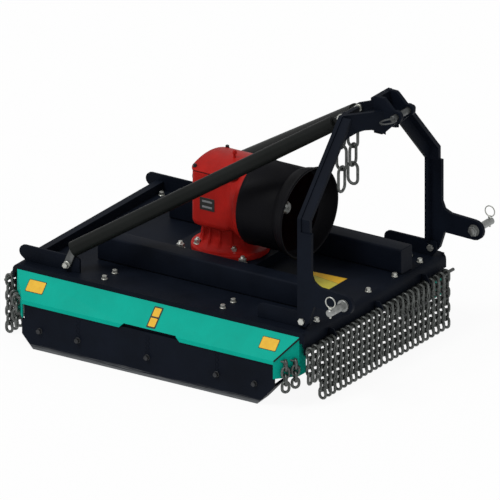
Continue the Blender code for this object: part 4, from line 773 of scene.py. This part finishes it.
def buildBrace(side, name):
    b = brace
    ends = []
    for label in ("lower", "upper"):
        low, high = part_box(f"brace_{label}_bolt_{name}")
        ends.append((Vector(low) + Vector(high)) / 2)
    ends[0].x = middleOf("rear_bracket_" + name, 0)
    start, high = ends[0] + Vector(b["lowShift"]), ends[1] + Vector(b["highShift"])
    heading = (high - start).normalized()
    end = high - heading * b["highTrim"]
    length = (end - start).length
    tube, forks, bolts = bmesh.new(), bmesh.new(), bmesh.new()
    r = b["radius"]
    profile = [(0.0, 0.0), (r - 0.004, 0.0), (r - 0.0035, 0.001), (r, 0.0015), (r, length - 0.0015),
               (r - 0.0035, length - 0.001), (r - 0.004, length), (0.0, length)]
    addLathe(tube, profile, aimed(start, heading), 56)
    finishPiece("brace_tube_" + name, tube, "tube", replaces=("brace_" + name,), sharp=40)
    reach = b["plateHalf"] + b["forkGap"] + b["forkCheek"]
    for eye, root in ((ends[0], start + heading * b["rootIn"]), (ends[1], end - heading * b["rootIn"])):
        for cheek in (-1, 1):
            inner = eye.x + cheek * (b["plateHalf"] + b["forkGap"])
            place = aimed((inner, 0, 0), (cheek, 0, 0), (0, 0, 1))
            first, second = [place.inverted() @ Vector((inner, spot.y, spot.z)) for spot in (eye, root)]
            outline = hullOutline(first.xy, b["eyeRadius"], second.xy, b["rootRadius"])
            addPrism(forks, place, outline, b["forkCheek"])
        addBolt(bolts, (eye.x + side * reach, eye.y, eye.z), (side, 0, 0), b["boltSize"])
        addBolt(bolts, (eye.x - side * reach, eye.y, eye.z), (-side, 0, 0), b["boltSize"], b["thread"])
        addLathe(bolts, [(0.0, 0.0), (b["shank"], 0.0), (b["shank"], 2 * reach), (0.0, 2 * reach)],
                 aimed((eye.x - reach, eye.y, eye.z), (1, 0, 0)), 16)
    finishPiece("brace_forks_" + name, forks, "fork", sharp=35)
    boltNodes = (f"brace_lower_bolt_{name}", f"brace_upper_bolt_{name}")
    finishPiece("brace_bolts_" + name, bolts, "zinc", replaces=boltNodes, sharp=25)


buildBrace(1, "left")
buildBrace(-1, "right")
print("braces and forks built")

# Hitch pins with collars and nuts, their spring clips, and the top pin with its pull ring
pins = {"plate": 0.012, "radius": 0.011, "collarRadius": 0.0178, "collarWidth": 0.008, "nutSize": 0.0316,
        "clipRadius": 0.0029, "clipInset": 0.010, "ringRadius": 0.0160, "ringWire": 0.0018,
        "topRadius": 0.0093, "topHead": 0.004, "pullRadius": 0.0233, "pullWire": 0.0025, "pullTilt": 0.20,
        "loose": 0.0001}


def addRing(bm, centre, across, tall, radius, wire, square, steps):
    loop = [centre + (Vector(across) * cos + Vector(tall) * sin) * radius for cos, sin in around(steps)]
    addSweep(bm, loop, wire - pins["loose"], 10, True, square)


def buildHitchPins(side, name):
    p = pins
    low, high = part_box("hitch_pin_" + name)
    y, z = middleOf("hitch_pin_" + name, 1), middleOf("hitch_pin_" + name, 2)
    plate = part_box("mast_frame")[1][0]
    length = max(abs(low[0]), abs(high[0])) - plate
    drillAt, tip = length - p["clipInset"], length - 0.0002
    r, collar, wide = p["radius"], p["collarRadius"], p["collarWidth"]
    bm, drill, clip = bmesh.new(), bmesh.new(), bmesh.new()
    addLathe(bm, [(0.0, 0.0), (collar - 0.001, 0.0), (collar, 0.001), (collar, wide - 0.001),
                  (collar - 0.001, wide), (r, wide), (r, drillAt - 0.006), (r - 0.0006, drillAt - 0.005),
                  (r - 0.0006, drillAt + 0.005), (r, drillAt + 0.006), (r, length - 0.003), (r - 0.003, tip),
                  (0.0, tip)], aimed((side * plate, y, z), (side, 0, 0)), 40)
    back = aimed((side * (plate - p["plate"] - 0.0003), y, z), (-side, 0, 0))
    nut = p["nutSize"]
    addLathe(bm, [(0.0, 0.0), (nut * 0.57, 0.0), (nut * 0.57, 0.0018), (0.0, 0.0018)], back, 28)
    addLathe(bm, [(0.0, 0.0018), (nut / 2, 0.0018), (nut / 2, 0.0100), (nut * 0.43, 0.0112), (0.0, 0.0112)],
             back, 6, 0.25)
    turns = [(0.0, 0.0112)]
    for turn in range(3):
        turns += [(0.0095, 0.0113 + turn * 0.0013), (0.0086, 0.0119 + turn * 0.0013)]
    addLathe(bm, turns + [(0.0, 0.0155)], back, 24)
    stud = finishPiece("hitch_stud_" + name, bm, "bright", replaces=("hitch_pin_" + name,), sharp=30)
    clipLow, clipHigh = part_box("lynch_pin_" + name)
    x = (clipLow[0] + clipHigh[0]) / 2
    at = Matrix.Translation((x, y, 0))
    bore, wire = p["clipRadius"] + 0.0005, p["clipRadius"]
    addLathe(drill, [(0.0, z - 0.03), (bore, z - 0.03), (bore, z + 0.03), (0.0, z + 0.03)], at, 24)
    cutHoles(stud, drill)
    top = z + r + 0.0062
    tip = clipLow[2] + 0.0002
    addLathe(clip, [(0.0, tip), (wire - 0.001, tip), (wire, tip + 0.0012), (wire, top - 0.0050),
                    (0.0058, top - 0.0046), (0.0058, top - 0.0008), (0.0048, top), (0.0, top)], at, 24)
    centre = Vector((x, y, clipHigh[2] - p["ringRadius"] - p["ringWire"]))
    addRing(clip, centre, (0, 1, 0), (0, 0, 1), p["ringRadius"], p["ringWire"], (1, 0, 0), 40)
    finishPiece("spring_clip_" + name, clip, "zinc", "lynch_pin_" + name, ("lynch_pin_" + name,), 35)


def buildTopPin():
    p = pins
    low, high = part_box("top_link_pin")
    y, z = (low[1] + high[1]) / 2, (low[2] + high[2]) / 2
    start, length = -high[0] - p["topHead"], 2 * high[0] + p["topHead"]
    bm = bmesh.new()
    r = p["topRadius"]
    addLathe(bm, [(0.0, 0.0), (r - 0.001, 0.0), (r, 0.001), (r, length - 0.002), (r - 0.002, length),
                  (0.0, length)], aimed((start, y, z), (1, 0, 0)), 40)
    centre = Vector((start - p["pullRadius"] + p["pullWire"] / 2, y, z))
    square = (0, p["pullTilt"], 1)
    tall = Vector(square).cross(Vector((1, 0, 0))).normalized()
    addRing(bm, centre, (1, 0, 0), tall, p["pullRadius"], p["pullWire"], square, 48)
    finishPiece("top_pin_and_ring", bm, "fork", "top_link_pin", ("top_link_pin",), 35)


buildHitchPins(1, "left")
buildHitchPins(-1, "right")
buildTopPin()
print("hitch pins and clips built")

# Chain curtains
chainRow = {"count": 28, "pitch": 0.0269, "links": 7,
            "wire": 0.0043, "halfWidth": 0.0089, "deepWidth": 0.0101,
            "bottom": 0.0010, "rodRadius": 0.005, "wireSides": 8, "arcSteps": 6, "first": -0.3000, "full": 25,
            "short": (-0.3395, -0.3663), "shortLinks": 4, "shortBottom": 0.0665, "lugs": (-0.243, 0.0, 0.243),
            "clear": 0.0076, "lead": 0.0026}


def addHangingChain(bm, x, y, top, bottom, links, look, firstFlat=False, turn=0.0):
    # Links hang through each other, turned a quarter each time
    wire = look["wire"]
    flatways = Vector((math.cos(turn), math.sin(turn), 0))
    crossways = Vector((-math.sin(turn), math.cos(turn), 0))
    lead = look.get("lead", 0.0)  # the first link is this much longer, to reach past the lugs
    pitch = (top - bottom - 4 * wire - lead) / links
    for index in range(links):
        halfLength = (pitch + (0.0 if index else lead)) / 2 + wire
        centre = (x, y, top - 2 * wire - pitch * (index + 0.5) - (lead if index else lead / 2))
        flat = (index % 2 == 0) == firstFlat
        across, normal = (flatways, crossways) if flat else (crossways, flatways)
        oval = stadium(centre, across, (0, 0, 1), look["halfWidth" if flat else "deepWidth"], halfLength,
                       look["arcSteps"])
        addSweep(bm, oval, wire, look["wireSides"], True, normal)


def buildChainRow(node):
    c = chainRow
    low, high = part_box(node)
    rod = c["rodRadius"]
    rodY, rodZ = (low[1] + high[1]) / 2, high[2] - rod
    length = high[0] - low[0]
    bm = bmesh.new()
    addLathe(bm, [(0.0, 0.0), (rod * 0.8, 0.0), (rod, 0.001), (rod, length - 0.001), (rod * 0.8, length),
                  (0.0, length)], aimed((low[0], rodY, rodZ), (1, 0, 0)), 16)
    top = rodZ + rod + 2 * c["wire"] + 0.0003
    front = node == "front_chains"
    first, count = (c["first"], c["full"]) if front else (-c["pitch"] * (c["count"] - 1) / 2, c["count"])
    for index in range(count):
        x = first + index * c["pitch"]
        for lug in c["lugs"]:
            if abs(x - lug) < c["clear"]:
                x = lug + math.copysign(c["clear"], x - lug)
        addHangingChain(bm, x, rodY, top, c["bottom"], c["links"], c)
    for x in c["short"] if front else ():  # two short ones beside the right corner
        addHangingChain(bm, x, rodY, top, c["shortBottom"], c["shortLinks"], c)
    finishPiece(node + "_links", bm, "chain", node, (node,), 60)


buildChainRow("front_chains")
buildChainRow("rear_chains")
print("chain curtains linked")

# Short corner chains on the hoods' slanted ends, each on a peg
cornerChain = {**chainRow, "links": 4, "places": ((0.3905, 0.057), (0.4135, 0.046)), "top": 0.1525,
               "off": 0.0150, "wire": 0.0045, "halfWidth": 0.0102, "deepWidth": 0.0102, "lead": 0.0,
               "turn": 0.751, "pegIn": 0.016, "pegOut": 0.006, "pegDown": 0.0105, "pegRadius": 0.0030}


def buildCornerChains():
    c = cornerChain
    bm = bmesh.new()
    low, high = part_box("side_hood_left")
    middle, reach = (low[1] + high[1]) / 2, (high[1] - low[1]) / 2
    pegZ = c["top"] - c["pegDown"]
    for side in (-1, 1):
        for end in (-1, 1):
            for x, bottom in c["places"]:
                y = middle + end * (reach - (x - low[0]) * hoodEnd["lean"] + c["off"])
                if end < 0:
                    y -= hoodEnd["reach"] * (x - low[0]) / hoodEnd["wide"]
                turn = -side * end * c["turn"]
                addHangingChain(bm, side * x, y, c["top"], bottom, c["links"], c, False, turn)
                peg = [(side * x, y - end * c["pegIn"], pegZ), (side * x, y + end * c["pegOut"], pegZ)]
                addSweep(bm, peg, c["pegRadius"], 10)
    finishPiece("corner_chains", bm, "chain", sharp=60)


buildCornerChains()

# The support chain hangs in two strands from a peg behind the mast's head
supportChain = {"wire": 0.0045, "halfWidth": 0.0165, "deepWidth": 0.0165, "wireSides": 10, "arcSteps": 8,
                "strands": ((0.0, -0.0225, 0.573, 3, False), (-0.004, 0.0135, 0.542, 3, True))}


def buildSupportChain():
    x, y, top = middleOf("support_chain", 0), middleOf("support_chain", 1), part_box("support_chain")[1][2]
    bm = bmesh.new()
    for alongX, alongY, bottom, links, firstFlat in supportChain["strands"]:
        addHangingChain(bm, x + alongX, y + alongY, top, bottom, links, supportChain, firstFlat)
    finishPiece("support_chain_links", bm, "chain", "support_chain", ("support_chain",), 60)


buildSupportChain()
print("loose chains hung")

# Bolts that hold the deck, the gearbox and the skids
deckBolts = {"size": 0.0150, "rows": (0.278, 0.332), "along": 0.202, "edge": (0.0, 0.138, 0.270),
             "edgeY": (-0.481, 0.470), "cornerX": 0.293, "cornerY": (-0.432, 0.415)}


def buildDeckBolts():
    d = deckBolts
    bm = bmesh.new()
    spots = []
    for side in (-1, 1):
        for x in d["rows"]:
            spots += [(side * x, end * d["along"]) for end in (-1, 1)]
        spots += [(side * d["cornerX"], y) for y in d["cornerY"]]
    for y in d["edgeY"]:
        spots += [(side * x, y) for x in d["edge"] for side in (-1, 1) if x or side > 0]
    for x, y in spots:
        addBolt(bm, (x, gearY + y, deckTop), (0, 0, 1), d["size"])
    finishPiece("deck_bolts", bm, "zinc", sharp=25)


gearboxBolts = {"base": (0.082, 0.106, 0.023, 0.006), "flange": (0.060, 0.062, 0.019, 0.004),
                "flangeTop": 0.018}  # x, y, size and thread of each four


def buildGearboxBolts():
    bm = bmesh.new()
    g = gearboxBolts
    levels = {"base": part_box("gearbox_base_plate")[1][2],
              "flange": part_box("gearbox_housing")[0][2] + g["flangeTop"]}
    for side in (-1, 1):
        for end in (-1, 1):
            for group, z in levels.items():
                x, y, size, thread = g[group]
                addBolt(bm, (side * x, gearY + end * y, z), (0, 0, 1), size, thread)
    finishPiece("gearbox_bolts", bm, "zinc", sharp=25)


skidBolts = {"level": 0.0615, "middle": -0.0065, "along": (0.0, 0.2365, 0.3665), "size": 0.0145,
             "holeStep": 0.0145, "holeRadius": 0.0048, "holes": 4, "holesWithin": 0.3}


def buildSkidBolts():
    s = skidBolts
    bm, holes = bmesh.new(), bmesh.new()
    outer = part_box("skid_left")[1][0]
    radius = s["holeRadius"]
    for side in (-1, 1):
        for along in s["along"]:
            for end in (-1, 1) if along else (-1,):
                y = gearY + s["middle"] + end * along
                addBolt(bm, (side * outer, y, s["level"]), (side, 0, 0), s["size"])
                for step in range(1, s["holes"] + 1 if along < s["holesWithin"] else 1):
                    place = aimed((side * outer, y, s["level"] + step * s["holeStep"]), (side, 0, 0))
                    addRingLathe(holes, [(radius, 0.0), (radius + 0.0022, 0.0), (radius + 0.0018, 0.0009),
                                         (radius, 0.0009)], place, 18)
                    addLathe(holes, [(0.0, 0.0), (radius, 0.0), (radius, 0.0003), (0.0, 0.0003)], place, 18)
    finishPiece("skid_hole_rims", holes, "black", sharp=40)
    finishPiece("skid_bolts", bm, "darkSteel", sharp=25)


buildDeckBolts()
buildGearboxBolts()
buildSkidBolts()
print("bolts set")

# Plain panels, with nothing on them
panels = {"side": (0.036, 0.056), "sidePlaces": (-0.404, 0.392), "slope": (1, 0, 61 / 63), "inX": 0.031,
          "downZ": 0.032, "rise": 0.005, "rim": 0.0035, "rimLevel": 0.6, "middle": (0.068, 0.031),
          "middleY": -0.016, "insets": (0.027, 0.023), "insetShift": 0.016, "lift": 0.0003,
          "thickness": 0.0006, "corner": 0.003,
          "deckCorners": ((0.041, -0.263), (-0.003, -0.293), (-0.069, -0.380), (0.049, -0.380)),
          "deckSplit": (0.5, 0.40), "deckInset": 0.96,
          "plate": (0.050, 0.038), "plateY": 0.0060, "plateZ": 0.4170, "plateThickness": 0.0008}


def buildPanels():
    p = panels
    low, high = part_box("side_hood_left")
    yellow, dark, pale, plate = bmesh.new(), bmesh.new(), bmesh.new(), bmesh.new()
    slope = Vector(p["slope"]).normalized()
    thickness, corner = p["thickness"], p["corner"]
    for side in (-1, 1):
        outward, uphill = Vector((side * slope.x, 0, slope.z)), Vector((-side * slope.z, 0, slope.x))
        middle = Vector((side * (low[0] + p["inX"]), gearY, high[2] - p["downZ"])) + outward * p["lift"]
        for y in p["sidePlaces"]:
            place = aimed(middle + Vector((0, y, 0)) + uphill * p["rise"], outward, (0, 1, 0))
            across, along = p["side"]
            addPanel(dark, place, across + p["rim"], along + p["rim"], thickness * p["rimLevel"], corner)
            addPanel(yellow, place, across, along, thickness, corner)
        spot = middle + Vector((0, p["middleY"], 0))
        addPanel(dark, aimed(spot, outward, (0, 1, 0)), *p["middle"], thickness, corner)
        for row in (1, -1):
            place = aimed(spot + uphill * row * p["insetShift"] + outward * thickness, outward, (0, 1, 0))
            addPanel(yellow, place, *p["insets"], 0.0003, 0.002, 0.0001)
    corners = [Vector((x, gearY + y, deckTop)) for x, y in p["deckCorners"]]
    split = [corners[0].lerp(corners[1], p["deckSplit"][0]), corners[3].lerp(corners[2], p["deckSplit"][1])]
    for target, outline, level, inset in ((dark, corners, 0.0002, 1.0),
                                          (yellow, split + [corners[3], corners[0]], 0.0005, p["deckInset"]),
                                          (pale, corners[1:3] + split[::-1], 0.0005, p["deckInset"])):
        centre = sum(outline, Vector()) / len(outline)
        addLoft(target, [[centre + (spot - centre) * inset + Vector((0, 0, z)) for spot in outline]
                         for z in (level - 0.0002, level)])
    face = Vector((-casting["halfX"] - 0.0002, gearY + p["plateY"], p["plateZ"]))
    across, tall = p["plate"]
    addPanel(dark, aimed(face, (-1, 0, 0), (0, 0, 1)), across, tall, p["plateThickness"], 0.002)
    for row in (-1, 1):
        bar = face + Vector((-p["plateThickness"], 0, row * tall * 0.22))
        place = aimed(bar, (-1, 0, 0), (0, 0, 1))
        addPanel(plate, place, across - 0.016, tall * 0.16, 0.0003, 0.001, 0.0001)
    for name, bm, paint in (("pale_panels", pale, "paleYellow"), ("gearbox_plate", plate, "greyPanel"),
                            ("yellow_panels", yellow, "yellow"), ("dark_panels", dark, "darkPanel")):
        finishPiece(name, bm, paint, sharp=40)


buildPanels()
print("panels laid")

# Studio: pale floor, even light, and the photograph's own straight-on drawing view
studio = {"floorSize": 30.0, "floorTone": 0.86, "glow": 0.93, "worldTone": 0.62, "keyStrength": 1.5,
          "keyDirection": (0.62, -0.25, -1.0), "keySoftness": 20.0}


def buildStudio():
    bm = bmesh.new()
    half = studio["floorSize"] / 2
    corners = [bm.verts.new((x * half, y * half, -0.0004)) for x, y in ((-1, -1), (1, -1), (1, 1), (-1, 1))]
    bm.faces.new(corners)
    floor = linked("floor", meshFrom("floor", bm))
    material, shader, coords = startMaterial("paleFloor")
    tree = material.node_tree
    cloud = noise(coords, 1.3, 3.0)
    tone = studio["floorTone"]
    feed(shader, "Base Color", mixColors(cloud, (tone,) * 3, (tone * 0.985,) * 3))
    shader.inputs["Roughness"].default_value = 0.9
    shader.inputs["Specular IOR Level"].default_value = 0.0
    path = tree.nodes.new("ShaderNodeLightPath")
    seen = Wire(tree, path.outputs["Is Camera Ray"]) + Wire(tree, path.outputs["Is Glossy Ray"])
    seen = (seen + Wire(tree, path.outputs["Is Transmission Ray"])).clamp(0.0, 1.0) * studio["glow"]
    white = tree.nodes.new("ShaderNodeEmission")
    white.inputs["Strength"].default_value = 1.0
    mix = tree.nodes.new("ShaderNodeMixShader")
    tree.links.new(seen.socket, mix.inputs[0])
    tree.links.new(shader.outputs[0], mix.inputs[1])
    tree.links.new(white.outputs[0], mix.inputs[2])
    tree.links.new(mix.outputs[0], tree.nodes["Material Output"].inputs["Surface"])
    floor.data.materials.append(material)

    world = bpy.data.worlds.new("studioWorld")
    bpy.context.scene.world = world
    world.use_nodes = True
    worldTree = world.node_tree
    sky = worldTree.nodes["Background"]
    worldPath = worldTree.nodes.new("ShaderNodeLightPath")
    direct = Wire(worldTree, worldPath.outputs["Is Camera Ray"])
    sky.inputs["Color"].default_value = (1.0, 1.0, 1.0, 1.0)
    level = direct * (1.0 - studio["worldTone"]) + studio["worldTone"]
    worldTree.links.new(level.socket, sky.inputs["Strength"])

    lamp = bpy.data.lights.new("keyLight", "SUN")
    lamp.energy = studio["keyStrength"]
    lamp.angle = math.radians(studio["keySoftness"])
    direction = Vector(studio["keyDirection"])
    linked("keyLight", lamp).rotation_euler = direction.to_track_quat("-Z", "Y").to_euler()
    bpy.context.scene.view_settings.view_transform = "Standard"


cameraLook = {"right": (0.5463, -0.8376, 0.0), "up": (0.3135, 0.2045, 0.9273), "pixelsPerMetre": 350.0,
              "originAcross": 227.2, "originDown": 329.7, "frame": 500, "distance": 5.0}


def buildCamera():
    # The gearbox axis meets the ground at pixel originAcross, originDown of a 500 pixel frame
    right, up = Vector(cameraLook["right"]), Vector(cameraLook["up"])
    back = right.cross(up)
    half = cameraLook["frame"] / 2
    scale = cameraLook["pixelsPerMetre"]
    across = (half - cameraLook["originAcross"]) / scale
    rise = (cameraLook["originDown"] - half) / scale
    target = Vector((0, gearY, 0)) + right * across + up * rise
    camera = bpy.data.cameras.new("camera")
    camera.type = "ORTHO"
    camera.ortho_scale = cameraLook["frame"] / scale
    camera.clip_end = 50.0
    rig = linked("camera", camera)
    turn = Matrix((right, up, back)).transposed().to_4x4()
    rig.matrix_world = Matrix.Translation(target + back * cameraLook["distance"]) @ turn
    bpy.context.scene.camera = rig


buildStudio()
buildCamera()
print("studio and camera ready")
